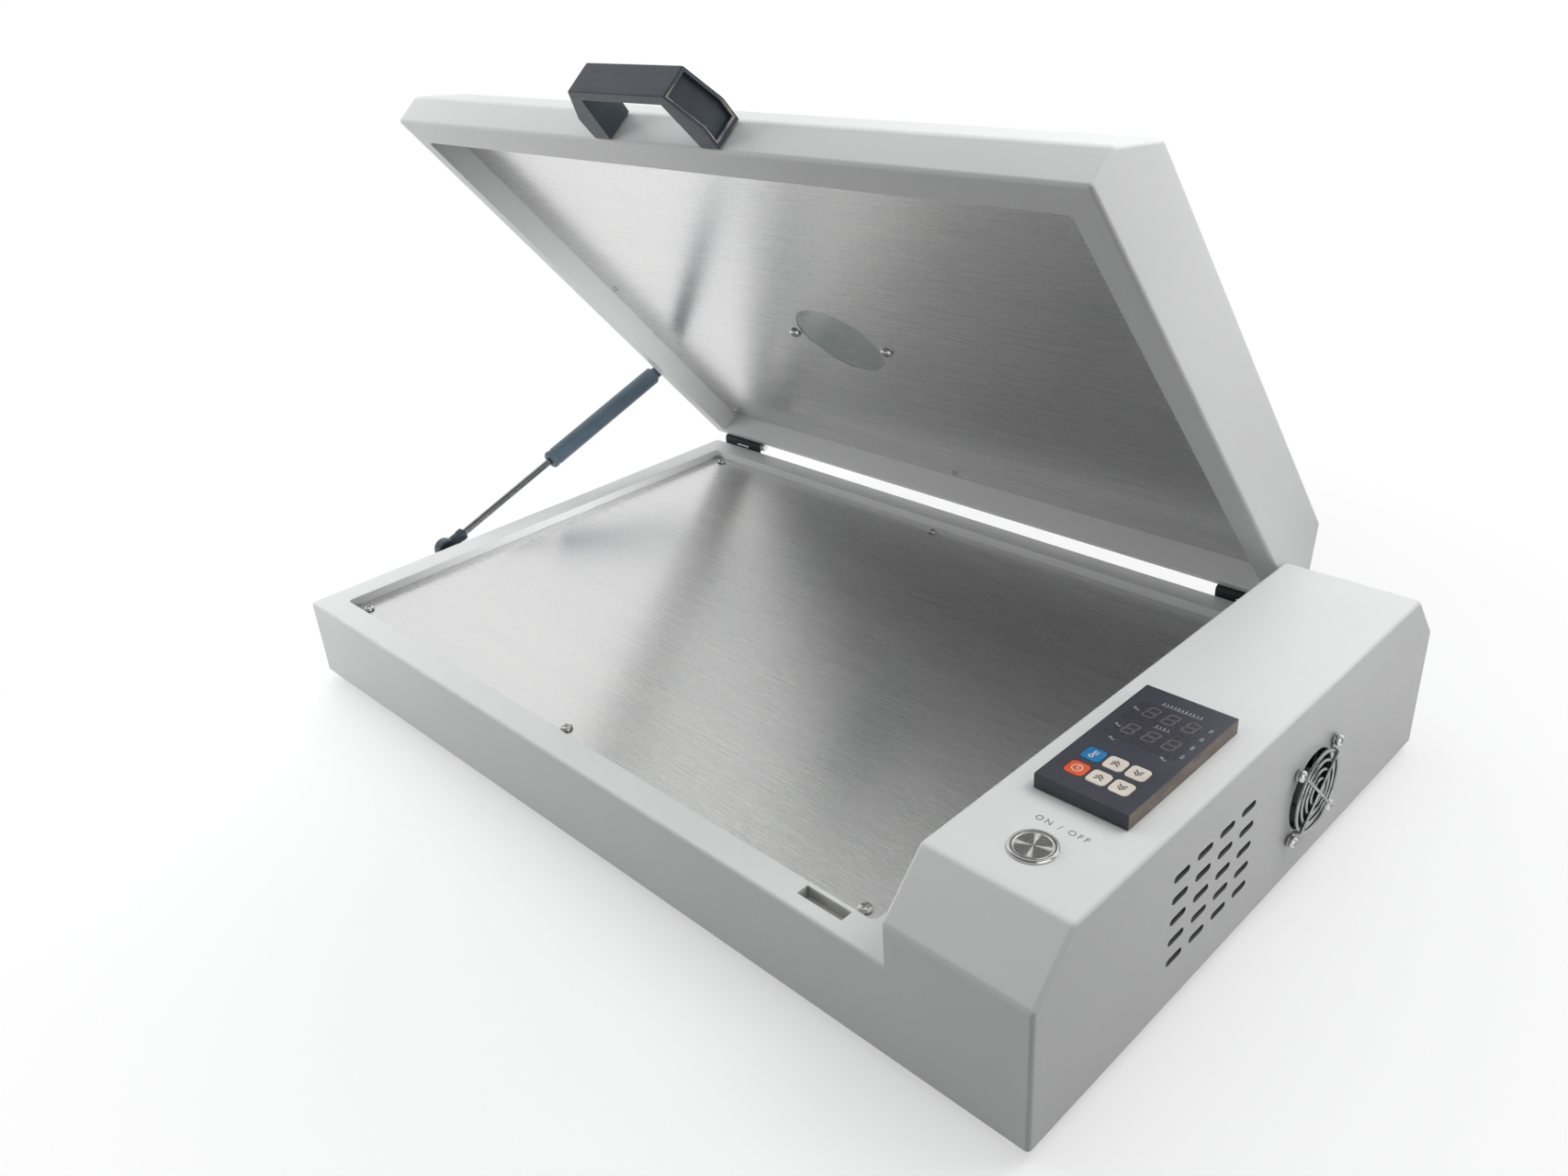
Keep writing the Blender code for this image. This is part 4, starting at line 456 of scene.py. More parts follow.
def ramp(mat, factor, low, high, start=NOISE_LOW, end=NOISE_HIGH):
    """Colour between two colours over a stretch of the factor."""
    made = add_node(mat.node_tree, "ShaderNodeValToRGB", {"Fac": factor})
    for element, place, colour in zip(made.color_ramp.elements, (start, end), (low, high)):
        element.position = place
        element.color = (*colour, 1.0)
    return made.outputs["Color"]


def span(mat, factor, low, high):
    """Number between two values over the middle of the factor."""
    return map_range(mat.node_tree, factor, NOISE_LOW, NOISE_HIGH, low, high)


def feed(mat, socket, source):
    """Gives the shader one of its values from another node."""
    mat.node_tree.links.new(source, shader_of(mat).inputs[socket])


def set_colour(mat, source):
    """Colour from another node."""
    feed(mat, "Base Color", source)


def set_roughness(mat, source):
    """Roughness from another node."""
    feed(mat, "Roughness", source)


def set_tangent(mat, kind, uv_map=""):
    """Way of the brushing, for the stretched gloss."""
    made = add_node(mat.node_tree, "ShaderNodeTangent", {}, direction_type=kind, axis="Z", uv_map=uv_map)
    feed(mat, "Tangent", made.outputs["Tangent"])


def add_bump(mat, factor, distance, strength):
    """Fine relief."""
    inputs = {"Strength": strength, "Distance": distance, "Height": factor}
    feed(mat, "Normal", add_node(mat.node_tree, "ShaderNodeBump", inputs).outputs["Normal"])


def powder_coat():
    """Pale grey coat of the casing and the lid."""
    mat = make_material("powder_coat", (0.667, 0.671, 0.670), 0.3)
    clouds = noise(mat, 14.0, detail=5.0)
    set_colour(mat, ramp(mat, clouds, (0.655, 0.660, 0.659), (0.678, 0.683, 0.682)))
    set_roughness(mat, span(mat, noise(mat, 160.0), 0.28, 0.34))
    add_bump(mat, noise(mat, 260.0, detail=0.0), 0.00001, 0.3)
    return mat


def brushed_steel(name, tone, roughness, anisotropy):
    """Sheet brushed along X: the gloss spreads along Y."""
    mat = make_material(name, (tone, tone, tone), roughness, 1.0, {"Anisotropic": anisotropy})
    lines = noise(mat, 1.0, (14.0, 2600.0, 2600.0), 3.0)
    broad = noise(mat, 1.0, (2.2, 60.0, 60.0), 2.0)
    set_colour(mat, ramp(mat, broad, (tone * 0.985,) * 3, (tone * 1.01, tone * 1.01, tone * 1.005)))
    set_roughness(mat, span(mat, lines, roughness - 0.03, roughness + 0.04))
    add_bump(mat, lines, 0.00001, 0.1)
    set_tangent(mat, "UV_MAP", "brush")
    return mat


def spun_steel_painted_highlights():
    """The cap of the push button, turned on a lathe. Its colour holds four bright spokes of painted
    highlight, with painted dark reflection between them.
    """
    mat = make_material("spun_steel_painted_highlights", (0.30, 0.30, 0.30), 0.26, 0.6, {"Anisotropic": 0.8})
    tree = mat.node_tree
    place = parts_of(tree, coordinates(tree, "Object"))
    angle = compute(tree, "ARCTAN2", place["Y"], place["X"])
    twice = compute(tree, "MULTIPLY", compute(tree, "SUBTRACT", angle, HIGHLIGHT_SPOKE_TURN), 2.0)
    painted_highlight_spokes = compute(tree, "ABSOLUTE", compute(tree, "SINE", twice))
    # painted highlight along the spokes, painted dark reflection in the quadrants between them
    set_colour(mat, ramp(mat, painted_highlight_spokes, (0.92, 0.92, 0.91), (0.20, 0.195, 0.195), 0.02, 0.50))
    set_roughness(mat, span(mat, noise(mat, 900.0), 0.22, 0.32))
    set_tangent(mat, "RADIAL")
    return mat


def worn_metal(name, low, high, roughness, scale=160.0, metallic=1.0):
    """Metal with a slightly uneven tone and gloss."""
    mat = make_material(name, high, roughness, metallic)
    set_colour(mat, ramp(mat, noise(mat, scale, detail=5.0), low, high))
    set_roughness(mat, span(mat, noise(mat, scale * 3), roughness - 0.05, roughness + 0.08))
    add_bump(mat, noise(mat, scale * 5), 0.00002, 0.3)
    return mat


def moulded(name, low, high, roughness, grain=900.0, depth=0.00006):
    """Plastic or paint with a fine moulded grain."""
    mat = make_material(name, high, roughness)
    set_colour(mat, ramp(mat, noise(mat, 60.0, detail=5.0), low, high))
    set_roughness(mat, span(mat, noise(mat, grain / 2), roughness - 0.05, roughness + 0.07))
    add_bump(mat, noise(mat, grain, detail=2.0), depth, 0.5)
    return mat


def panel_film():
    """Dark film on the controller. Its right flank is a warm brown."""
    mat = moulded("panel_film", (0.040, 0.042, 0.055), (0.048, 0.050, 0.064), 0.34)
    tree = mat.node_tree
    flank = compute(tree, "GREATER_THAN", parts_of(tree, coordinates(tree, "Normal"))["X"], 0.8)
    film = shader_of(mat).inputs["Base Color"].links[0].from_socket
    brown = ramp(mat, noise(mat, 90.0, (1, 1, 3)), (0.095, 0.066, 0.048), (0.20, 0.155, 0.12))
    set_colour(mat, mix(tree, flank, film, brown, "RGBA"))
    return mat


def scuffed_edge_highlight():
    """Edges of the handle: lighter than its faces all along, as a painted highlight, and with its colour
    rubbed off in places.
    """
    mat = make_material("scuffed_edge_highlight", (0.10, 0.11, 0.12), 0.5)
    rubbed = noise(mat, 55.0, detail=6.0)
    set_colour(mat, ramp(mat, rubbed, (0.085, 0.105, 0.125), (0.44, 0.38, 0.31), 0.46, 0.62))
    set_roughness(mat, span(mat, rubbed, 0.42, 0.62))
    return mat


def fibre_wool():
    """Pale insulating wool."""
    mat = make_material("fibre_wool", (0.78, 0.77, 0.72), 0.95)
    fibres = noise(mat, 1.0, (120.0, 900.0, 900.0), 5.0)
    set_colour(mat, ramp(mat, fibres, (0.66, 0.64, 0.58), (0.86, 0.85, 0.81)))
    add_bump(mat, fibres, 0.0006, 0.8)
    return mat


def heater_foil():
    """Brown heater film with its tracks."""
    mat = make_material("heater_foil", (0.30, 0.12, 0.06), 0.4)
    tracks = noise(mat, 1.0, (15.0, 700.0, 700.0), 1.0)
    set_colour(mat, ramp(mat, tracks, (0.22, 0.075, 0.03), (0.40, 0.17, 0.08), 0.45, 0.55))
    add_bump(mat, tracks, 0.0001, 0.5)
    return mat


LOOKS = {
    "coat": powder_coat(),
    "stainless": brushed_steel("bed_steel", 0.74, 0.27, 0.65),
    "zinc": worn_metal("zinc_sheet", (0.50, 0.52, 0.53), (0.62, 0.63, 0.63), 0.42, 45.0),
    "chrome": worn_metal("bright_steel", (0.72, 0.72, 0.71), (0.80, 0.80, 0.79), 0.16),
    "slate": moulded("slate_plastic", (0.034, 0.045, 0.058), (0.046, 0.060, 0.074), 0.40),
    "strut": moulded("strut_paint", (0.060, 0.088, 0.115), (0.075, 0.106, 0.136), 0.36, 500.0),
    "hinge": moulded("hinge_black", (0.022, 0.024, 0.027), (0.034, 0.036, 0.040), 0.45),
    "black": panel_film(),
    "rubber": moulded("foot_rubber", (0.018, 0.018, 0.019), (0.030, 0.030, 0.031), 0.75, 1400.0, 0.0001),
    "blue": moulded("blue_key", (0.006, 0.140, 0.330), (0.012, 0.175, 0.390), 0.4),
    "red": moulded("red_key", (0.56, 0.070, 0.022), (0.66, 0.105, 0.032), 0.4),
    "cream": moulded("cream_key", (0.58, 0.52, 0.46), (0.66, 0.60, 0.54), 0.4),
    "heater": heater_foil(),
    "wool": fibre_wool(),
    "board": moulded("board_green", (0.008, 0.070, 0.035), (0.015, 0.110, 0.055), 0.4, 300.0),
}
BUTTON_STEEL_PAINTED_SPOKES = spun_steel_painted_highlights()
DISC_LOOK = worn_metal("polished_disc", (0.49, 0.53, 0.515), (0.54, 0.58, 0.565), 0.07, 30.0)
# painted shade: near black in place of the coat, on faces shut inside the casing
INSIDE_SHADE_LOOK = moulded("painted_inside_shade", (0.012, 0.013, 0.014), (0.022, 0.023, 0.024), 0.8)
# painted shade: dark grey in place of the coat, on the walls of the openings in the right wall
SLOT_WALL_SHADE = moulded("painted_slot_shade", (0.10, 0.102, 0.102), (0.14, 0.142, 0.142), 0.5)
SWITCH_LOOK = moulded("switch_grey", (0.40, 0.40, 0.39), (0.48, 0.48, 0.47), 0.5)
GUARD_LOOK = worn_metal("guard_wire", (0.34, 0.345, 0.35), (0.46, 0.465, 0.47), 0.22, 300.0)
ROD_LOOK = worn_metal("rod_steel", (0.30, 0.305, 0.31), (0.40, 0.405, 0.41), 0.2, 200.0)
DIGIT_LOOK = moulded("unlit_segments", (0.100, 0.090, 0.095), (0.120, 0.107, 0.112), 0.4)
WINDOW_LOOK = moulded("display_window", (0.036, 0.036, 0.046), (0.042, 0.042, 0.053), 0.30)
PRINT_LOOK = moulded("pale_print", (0.30, 0.30, 0.33), (0.36, 0.36, 0.39), 0.5)
INK_LOOK = moulded("grey_ink", (0.15, 0.155, 0.155), (0.21, 0.215, 0.215), 0.6)
DARK_INK = moulded("dark_ink", (0.045, 0.042, 0.040), (0.07, 0.065, 0.06), 0.5)
BRASS = worn_metal("brass", (0.58, 0.43, 0.19), (0.68, 0.52, 0.24), 0.3)
SCREW_LOOK = worn_metal("screw_zinc", (0.70, 0.70, 0.69), (0.84, 0.84, 0.82), 0.18, 300.0, 0.9)
# painted highlight: cut steel edges made lighter and half matte, on the bevels of the lid plate and the disc
EDGE_HIGHLIGHT_LOOK = worn_metal("cut_edge_highlight", (0.74, 0.75, 0.74), (0.86, 0.86, 0.85), 0.28, 120.0, 0.5)
SCUFFED_HIGHLIGHT = scuffed_edge_highlight()
FAN_BLACK = moulded("fan_black", (0.012, 0.012, 0.013), (0.022, 0.022, 0.024), 0.5)

# CAD nodes that keep their shape
for kept in (
    "bed_heater", "bed_insulation", "pod_partition", "lid_switch", "controller_case", "button_nut",
    "control_board", "heater_relay", "terminal_block", "lid_heater", "lid_insulation",
):
    NODES[kept].material_slots[0].material = LOOKS[cad_slot(kept)]
NODES["lid_switch"].material_slots[0].material = SWITCH_LOOK


# Casing, lid, bed

# Pieces that shut in the inside
SHUT = (
    "base_housing", "bottom_cover", "bed_plate", "controller_bezel", "button_bezel", "fan_frame",
    "power_inlet",
)

# Where the openings in the right wall lie
CASING_LOW, CASING_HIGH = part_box("base_housing")
WALL_SPAN = (CASING_HIGH.x - 0.0016, CASING_HIGH.x - 0.0001)
OPENING_DEPTHS = (CASING_LOW.y + 0.020, CASING_HIGH.y - 0.020)
OPENING_LEVELS = (CASING_LOW.z + 0.012, CASING_HIGH.z - 0.020)
EDGE_SLOPE = 0.3


# faces that pass this test get painted shade
def in_right_wall(point, normal):
    """Whether a face is the cut edge of an opening in the right wall."""
    spans = (WALL_SPAN, OPENING_DEPTHS, OPENING_LEVELS)
    inside = all(least < place < most for place, (least, most) in zip(point, spans))
    return inside and abs(normal.x) < EDGE_SLOPE


dress("base_housing", walls=SHUT, slot_walls=in_right_wall)
dress("bottom_cover", walls=SHUT)
dress("lid_shell")
for name in ("front_left_foot", "front_right_foot", "back_left_foot", "back_right_foot"):
    dress(name, bevel=0.0003)
dress("bed_plate", brush=UNTURNED)
# the lid plate's bevelled edges carry a painted highlight
dress("lid_plate", bevel=0.0006, brush=LID_TURN, accent=EDGE_HIGHLIGHT_LOOK)

# The baffle disc, its face raised to just behind the opening in the plate
DISC_RADIUS = 0.0324
DISC_RECESS = 0.0004
disc_low, disc_high = box_in("vent_disc", LID_TURN)
plate_low, plate_high = box_in("lid_plate", LID_TURN)
disc_middle = (disc_low + disc_high) / 2
raised = bmesh.new()
prism(raised, [
    (disc_middle.x + DISC_RADIUS * math.cos(a), disc_middle.y + DISC_RADIUS * math.sin(a))
    for a in turns_of(ROUND_SIDES)
], LID_TURN, plate_low.z + DISC_RECESS, disc_middle.z)
# the disc's bevelled lip carries a painted highlight
dress("vent_disc", bevel=0.0004, material=DISC_LOOK, more=raised, accent=EDGE_HIGHLIGHT_LOOK)
# the handle's bevelled edges carry a painted highlight and rubbed wear
dress("handle", bevel=0.0011, smooth_deg=28.0, bevel_deg=60.0, accent=SCUFFED_HIGHLIGHT)

# Lining of the slot in the front rim, down to the lid switch
SLOT_FROM_FRONT = 0.0085
SLOT_WIDTH = 0.0072
LINING_WALL = 0.0004
LINING_HEIGHT = 0.0049
CUT_PAST = 0.001    # how far a cutter reaches past what it cuts
switch_low, switch_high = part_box("lid_switch")
slot_front = CASING_LOW.y + SLOT_FROM_FRONT
slot_sides = (switch_low.x, slot_front, switch_high.x, slot_front + SLOT_WIDTH)
on_switch = Matrix.Translation((0, 0, switch_high.z))
lining = bmesh.new()
prism(lining, rectangle(*slot_sides, LINING_WALL), on_switch, 0.0, LINING_HEIGHT)
mouth = bmesh.new()
prism(mouth, rectangle(*slot_sides), on_switch, -CUT_PAST, LINING_HEIGHT + CUT_PAST)
carve(lining, mouth)
add_shape("switch_slot_lining", lining, "zinc", "base", material=SWITCH_LOOK)


# Screws

# Head of a screw, from its seat up, in shares of its radius and height
HEAD_PROFILE = (
    (0.95, 0.0), (1.0, 0.08), (1.0, 0.36), (0.96, 0.56), (0.86, 0.76), (0.70, 0.90), (0.45, 0.98), (0.0, 1.0),
)
RECESS_REACH = 0.66
RECESS_HALF = 0.17
RECESS_TAPER = ((0.8, 0.30), (1.08, 1.1))    # width and height shares at its floor and mouth


def screw_mesh(name, radius, height, shank_radius, shank_length):
    """Pan-head screw with a cross recess. Its seat is at the origin and its head points along Z."""
    bm = bmesh.new()
    lathe(bm, UNTURNED, [
        (0.0, -shank_length), (shank_radius, -shank_length), (shank_radius, 0.0),
        *((radius * across, height * up) for across, up in HEAD_PROFILE),
    ], SCREW_SIDES)
    wide = radius * RECESS_REACH
    narrow = radius * RECESS_HALF
    for reach, half in ((wide, narrow), (narrow, wide)):
        arm = bmesh.new()
        loft(arm, *(
            [(x * share, y * share, height * up) for x, y in rectangle(-reach, -half, reach, half)]
            for share, up in RECESS_TAPER
        ))
        carve(bm, arm)
    return finish_mesh(name, bm, SCREW_LOOK, 30.0)


PLATE_SCREW = screw_mesh("plate_screw", 0.0036, 0.0020, 0.0015, 0.0022)
DISC_SCREW = screw_mesh("disc_screw", 0.0040, 0.0028, 0.0015, 0.0022)
FAN_SCREW = screw_mesh("fan_screw", 0.0032, 0.0022, 0.0014, 0.0030)
SMALL_SCREW = screw_mesh("small_screw", 0.0026, 0.0014, 0.0012, 0.0020)
TURN_STEP = math.radians(37)
TURN_COUNT = 9
LID_SCREW_INSET = 0.0075
LEAF_SCREW_INSET = 0.0085
COVER_SCREW_INSET = 0.010
INLET_SCREW_INSET = 0.005


def add_screw(name, mesh, seat, direction, body, replaces=()):
    """Stands a screw on its seat, turned differently from the one before it."""
    turn = TURN_STEP * (len(bpy.data.objects) % TURN_COUNT)
    matrix = along(seat, direction) @ Matrix.Rotation(turn, 4, "Z")
    add_piece(name, mesh, body, replaces, matrix)


def add_screws(prefix, seats, direction, body):
    """Small numbered screws on their seats."""
    for number, seat in enumerate(seats, start=1):
        add_screw(f"{prefix}_screw_{number}", SMALL_SCREW, seat, direction, body)


def screw_seat(node, direction, head_height):
    """Seat of a CAD screw: the middle of its node, a head's height below its crown."""
    turned = along((0, 0, 0), direction)
    low, high = box_in(node, turned)
    return turned @ Vector(((low.x + high.x) / 2, (low.y + high.y) / 2, high.z - head_height))


def ends_and_middle(low, high, inset):
    """Three places along a side."""
    return low + inset, (low + high) / 2, high - inset


# Screws that the CAD model has, with the height of their heads there
for family, count, mesh, way, body, head in (
    ("bed_plate", 6, PLATE_SCREW, UP, "base", 0.0020),
    ("fan_guard", 4, FAN_SCREW, RIGHTWARD, "base", 0.0022),
    ("vent_disc", 2, DISC_SCREW, LID_OUT, "lid", 0.0020),
):
    for number in range(1, count + 1):
        name = f"{family}_screw_{number}"
        add_screw(f"{name}_fine", mesh, screw_seat(name, way, head), way, body, (name,))

# The lid plate's screws, at its corners and the middles of its sides
columns = ends_and_middle(plate_low.x, plate_high.x, LID_SCREW_INSET)
rows = ends_and_middle(plate_low.y, plate_high.y, LID_SCREW_INSET)
middle = (columns[1], rows[1])
places = [(x, y) for y in rows for x in columns if (x, y) != middle]
add_screws("lid_plate", [LID_TURN @ Vector((x, y, plate_low.z)) for x, y in places], LID_OUT, "lid")

# The bottom cover's screws, near its corners and the middles of its long sides
low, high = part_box("bottom_cover")
columns = ends_and_middle(low.x, high.x, COVER_SCREW_INSET)
rows = (low.y + COVER_SCREW_INSET, high.y - COVER_SCREW_INSET)
add_screws("cover", [Vector((x, y, low.z)) for x in columns for y in rows], DOWN, "base")


# Hinges and gas strut

LEAF_THICKNESS = 0.0018
LEAF_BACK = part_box("left_hinge_base_leaf")[0].y + LEAF_THICKNESS
LEAF_EDGE = HINGE.z - 0.0027
TONGUE_HEIGHT = 0.003
LEAF_SCREW_SHARES = (0.24, 0.76)


def leaf_tongue(node):
    """Middle of a base leaf's upper edge, raised to just below the lid leaf's knuckle."""
    low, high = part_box(node)
    third = (high.x - low.x) / 3
    outline = rectangle(low.x + third, low.y, high.x - third, LEAF_BACK)
    bm = bmesh.new()
    prism(bm, outline, UNTURNED, LEAF_EDGE - TONGUE_HEIGHT, LEAF_EDGE)
    return bm


for side in ("left", "right"):
    base_leaf = f"{side}_hinge_base_leaf"
    dress(base_leaf, smooth_deg=40.0, more=leaf_tongue(base_leaf))
    dress(f"{side}_hinge_lid_leaf", smooth_deg=40.0)
    dress(f"{side}_hinge_pin", smooth_deg=40.0)
for side in ("left", "right"):
    for kind, frame_of, body, way in (
        ("base_leaf", UNTURNED, "base", BACKWARD), ("lid_leaf", LID_TURN, "lid", LID_BACKWARD),
    ):
        low, high = box_in(f"{side}_hinge_{kind}", frame_of)
        level = low.z + LEAF_SCREW_INSET if kind == "base_leaf" else high.z - LEAF_SCREW_INSET
        add_screws(f"{side}_hinge_{kind}", [
            frame_of @ Vector((low.x + share * (high.x - low.x), low.y + LEAF_THICKNESS, level))
            for share in LEAF_SCREW_SHARES
        ], way, body)
for name in ("strut_base_bracket", "strut_lid_bracket"):
    dress(name, smooth_deg=40.0)
STRUT_FOOT = Vector(JOINTS["strut_swing"]["pos_m"])
rod_points = [v.co for v in NODES["strut_rod"].data.vertices]
rod_middle = sum(rod_points, Vector()) / len(rod_points)
STRUT_FOOT.x = rod_middle.x
STRUT = along(STRUT_FOOT, rod_middle - STRUT_FOOT)
TUBE_ROUND = 0.0018
TUBE_BORE = 0.0033
TUBE_END = 0.006
CRIMP_START = 0.0040
CRIMP_END = 0.0066
CRIMP_DEPTH = 0.0006
ARC_STEPS = 6
ROD_EDGE = 0.0004
SOCKET_RADIUS = 0.0080
SOCKET_LENGTH = 0.0110
SOCKET_EDGE = 0.0008
NECK_START = 0.001
NECK_RADIUS = 0.0044
# Step at the neck's end: radius, and distance back from the end
NECK_STEP = ((NECK_RADIUS, 0.0050), (0.0048, 0.0044), (0.0048, 0.0008), (0.0040, 0.0))
# Dome of the drum: share of its radius, and distance below its crown
SOCKET_DOME = ((1.0, 0.0045), (0.98, 0.0032), (0.91, 0.0020), (0.78, 0.0010), (0.55, 0.0003), (0.30, 0.0))
STUD_BORE = 0.0037
STUD_DEPTH = 0.0081
BRACKET_THICKNESS = 0.002
BRACKET_SCREW_REACHES = (0.0065, 0.0165)


def arc(radius, height, size, start):
    """Quarter turn of a profile, with its middle at (radius, height)."""
    turns = [start + math.pi / 2 * k / ARC_STEPS for k in range(ARC_STEPS + 1)]
    return [(radius + size * math.cos(a), height + size * math.sin(a)) for a in turns]


def strut_tube():
    """Bored tube with rounded ends and a crimped groove."""
    low, high = box_in("strut_tube", STRUT)
    wide = high.x
    inner = wide - TUBE_ROUND
    groove = wide - CRIMP_DEPTH
    bm = bmesh.new()
    lathe(bm, STRUT, [
        (0.0, high.z - TUBE_END), (TUBE_BORE, high.z - TUBE_END), (TUBE_BORE, low.z),
        *arc(inner, low.z + TUBE_ROUND, TUBE_ROUND, -math.pi / 2),
        (wide, low.z + CRIMP_START), (groove, low.z + CRIMP_START + CRIMP_DEPTH),
        (groove, low.z + CRIMP_END - CRIMP_DEPTH), (wide, low.z + CRIMP_END),
        *arc(inner, high.z - TUBE_ROUND, TUBE_ROUND, 0.0), (0.0, high.z),
    ], ROUND_SIDES)
    add_shape("strut_tube_fine", bm, "strut", BODY_OF["strut_tube"], ("strut_tube",), 32.0)


def strut_rod():
    """Rod with broken edges."""
    low, high = box_in("strut_rod", STRUT)
    inner = high.x - ROD_EDGE
    bm = bmesh.new()
    lathe(bm, STRUT, [
        (0.0, low.z), (inner, low.z), (high.x, low.z + ROD_EDGE), (high.x, high.z - ROD_EDGE),
        (inner, high.z), (0.0, high.z),
    ], SCREW_SIDES)
    add_shape("strut_rod_fine", bm, "chrome", BODY_OF["strut_rod"], ("strut_rod",), 32.0, ROD_LOOK)


def strut_socket(node, neck_up, bored):
    """Ball socket: a domed drum across the strut, with a stepped neck along it."""
    low, high = box_in(node, STRUT)
    centre_z = low.z + SOCKET_RADIUS if neck_up else high.z - SOCKET_RADIUS
    across = STRUT @ Matrix.Translation((0, 0, centre_z))
    outward = along(across.translation, LEFTWARD)
    half = SOCKET_LENGTH / 2
    bm = bmesh.new()
    lathe(bm, outward, [
        (0.0, -half), (SOCKET_RADIUS - SOCKET_EDGE, -half), (SOCKET_RADIUS, -half + SOCKET_EDGE),
        *((SOCKET_RADIUS * share, half - drop) for share, drop in SOCKET_DOME), (0.0, half),
    ], ROUND_SIDES)
    sign = 1 if neck_up else -1
    reach = (high.z if neck_up else -low.z) - sign * centre_z
    neck = bmesh.new()
    lathe(neck, across, [
        (0.0, sign * NECK_START), (NECK_RADIUS, sign * NECK_START),
        *((radius, sign * (reach - back)) for radius, back in NECK_STEP), (0.0, sign * reach),
    ], SCREW_SIDES)
    carve(bm, neck, "UNION")
    if bored:
        bore = bmesh.new()
        lathe(bore, outward, [
            (0.0, -half - CUT_PAST), (STUD_BORE, -half - CUT_PAST), (STUD_BORE, -half + STUD_DEPTH),
            (0.0, -half + STUD_DEPTH),
        ], SCREW_SIDES)
        carve(bm, bore)
    add_shape(f"{node}_fine", bm, "slate", BODY_OF[node], (node,), 32.0)


strut_tube()
strut_rod()
strut_socket("strut_rod_socket", True, True)
strut_socket("strut_tube_socket", False, False)
for kind, frame_of, sign in (("base", UNTURNED, 1), ("lid", LID_TURN, -1)):
    low, high = box_in(f"strut_{kind}_bracket", frame_of)
    end = low.z if sign > 0 else high.z
    add_screws(f"strut_{kind}_bracket", [
        frame_of @ Vector((high.x - BRACKET_THICKNESS, (low.y + high.y) / 2, end + sign * reach))
        for reach in BRACKET_SCREW_REACHES
    ], LEFTWARD, kind)


# Controller

dress("controller_bezel")
dress("display_window", material=WINDOW_LOOK)
FILM_MARGIN = 0.0006
FILM_HEIGHT = 0.00004
FILM_DEPTH = 0.0001
low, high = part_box("display_window")
film = bmesh.new()
prism(
    film, rectangle(low.x, low.y, high.x, high.y, FILM_MARGIN), Matrix.Translation((0, 0, high.z)),
    -FILM_DEPTH, FILM_HEIGHT,
)
add_shape("display_film", film, "black", "base", material=WINDOW_LOOK)
KEYS = ("key_red", "key_low_up", "key_low_down", "key_blue", "key_high_up", "key_high_down")
for name in KEYS:
    dress(name, bevel=0.00035, smooth_deg=50.0)
PANEL_LOW, PANEL_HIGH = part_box("controller_bezel")
PANEL = Matrix.Translation(((PANEL_LOW.x + PANEL_HIGH.x) / 2, PANEL_LOW.y, PANEL_HIGH.z))


def mark(bm, outline, place=PANEL):
    """A thin flat mark on a face."""
    prism(bm, outline, place, MARK_LIFT, MARK_TOP)


def digit(bm, x, y):
    """The seven unlit segments of a slanted digit, with its middle at x, y on the panel."""
    w, h, gap = DIGIT_WIDTH / 2, DIGIT_HEIGHT / 2, DIGIT_GAP
    ends = [((-w + gap, level), (w - gap, level)) for level in (h, 0, -h)]
    ends += [((side, foot + gap), (side, foot + h - gap)) for foot in (0, -h) for side in (-w, w)]
    for start, end in ends:
        segment = stroke(start, end, DIGIT_STROKE)
        mark(bm, [(x + p.x + p.y * DIGIT_SLANT, y + p.y) for p in segment])


digits = bmesh.new()
for y, columns in ((0.0735, (-0.0091, 0.0008, 0.0110)), (0.0558, (-0.0096, 0.0009, 0.0111))):
    for x in columns:
        digit(digits, x, y)
add_shape("display_digits", digits, "black", "base", material=DIGIT_LOOK)


def dash(bm, x, y, length, width, place=PANEL, across=False):
    """A short line on a flat face, along X or across it."""
    half = Vector((0, length / 2)) if across else Vector((length / 2, 0))
    middle = Vector((x, y))
    mark(bm, stroke(middle - half, middle + half, width), place)


def ring_mark(bm, x, y, radius, width, place=PANEL, steps=24):
    """A round line on a flat face."""
    inner, outer = radius - width / 2, radius + width / 2
    lathe(bm, place @ Matrix.Translation((x, y, 0)), [
        (inner, MARK_LIFT), (outer, MARK_LIFT), (outer, MARK_TOP), (inner, MARK_TOP),
    ], steps, closed=True)


def bent_stroke(start, corner, end, width):
    """Outline of a line with one sharp bend."""
    start, corner, end = Vector(start), Vector(corner), Vector(end)
    ways = (corner - start).normalized(), (end - corner).normalized()
    sides = [Vector((-way.y, way.x)) * width / 2 for way in ways]
    mitre = (sides[0] + sides[1]).normalized()
    mitre *= width / 2 / mitre.dot(sides[0].normalized())
    return [
        start + sides[0], corner + mitre, end + sides[1], end - sides[1], corner - mitre, start - sides[0],
    ]


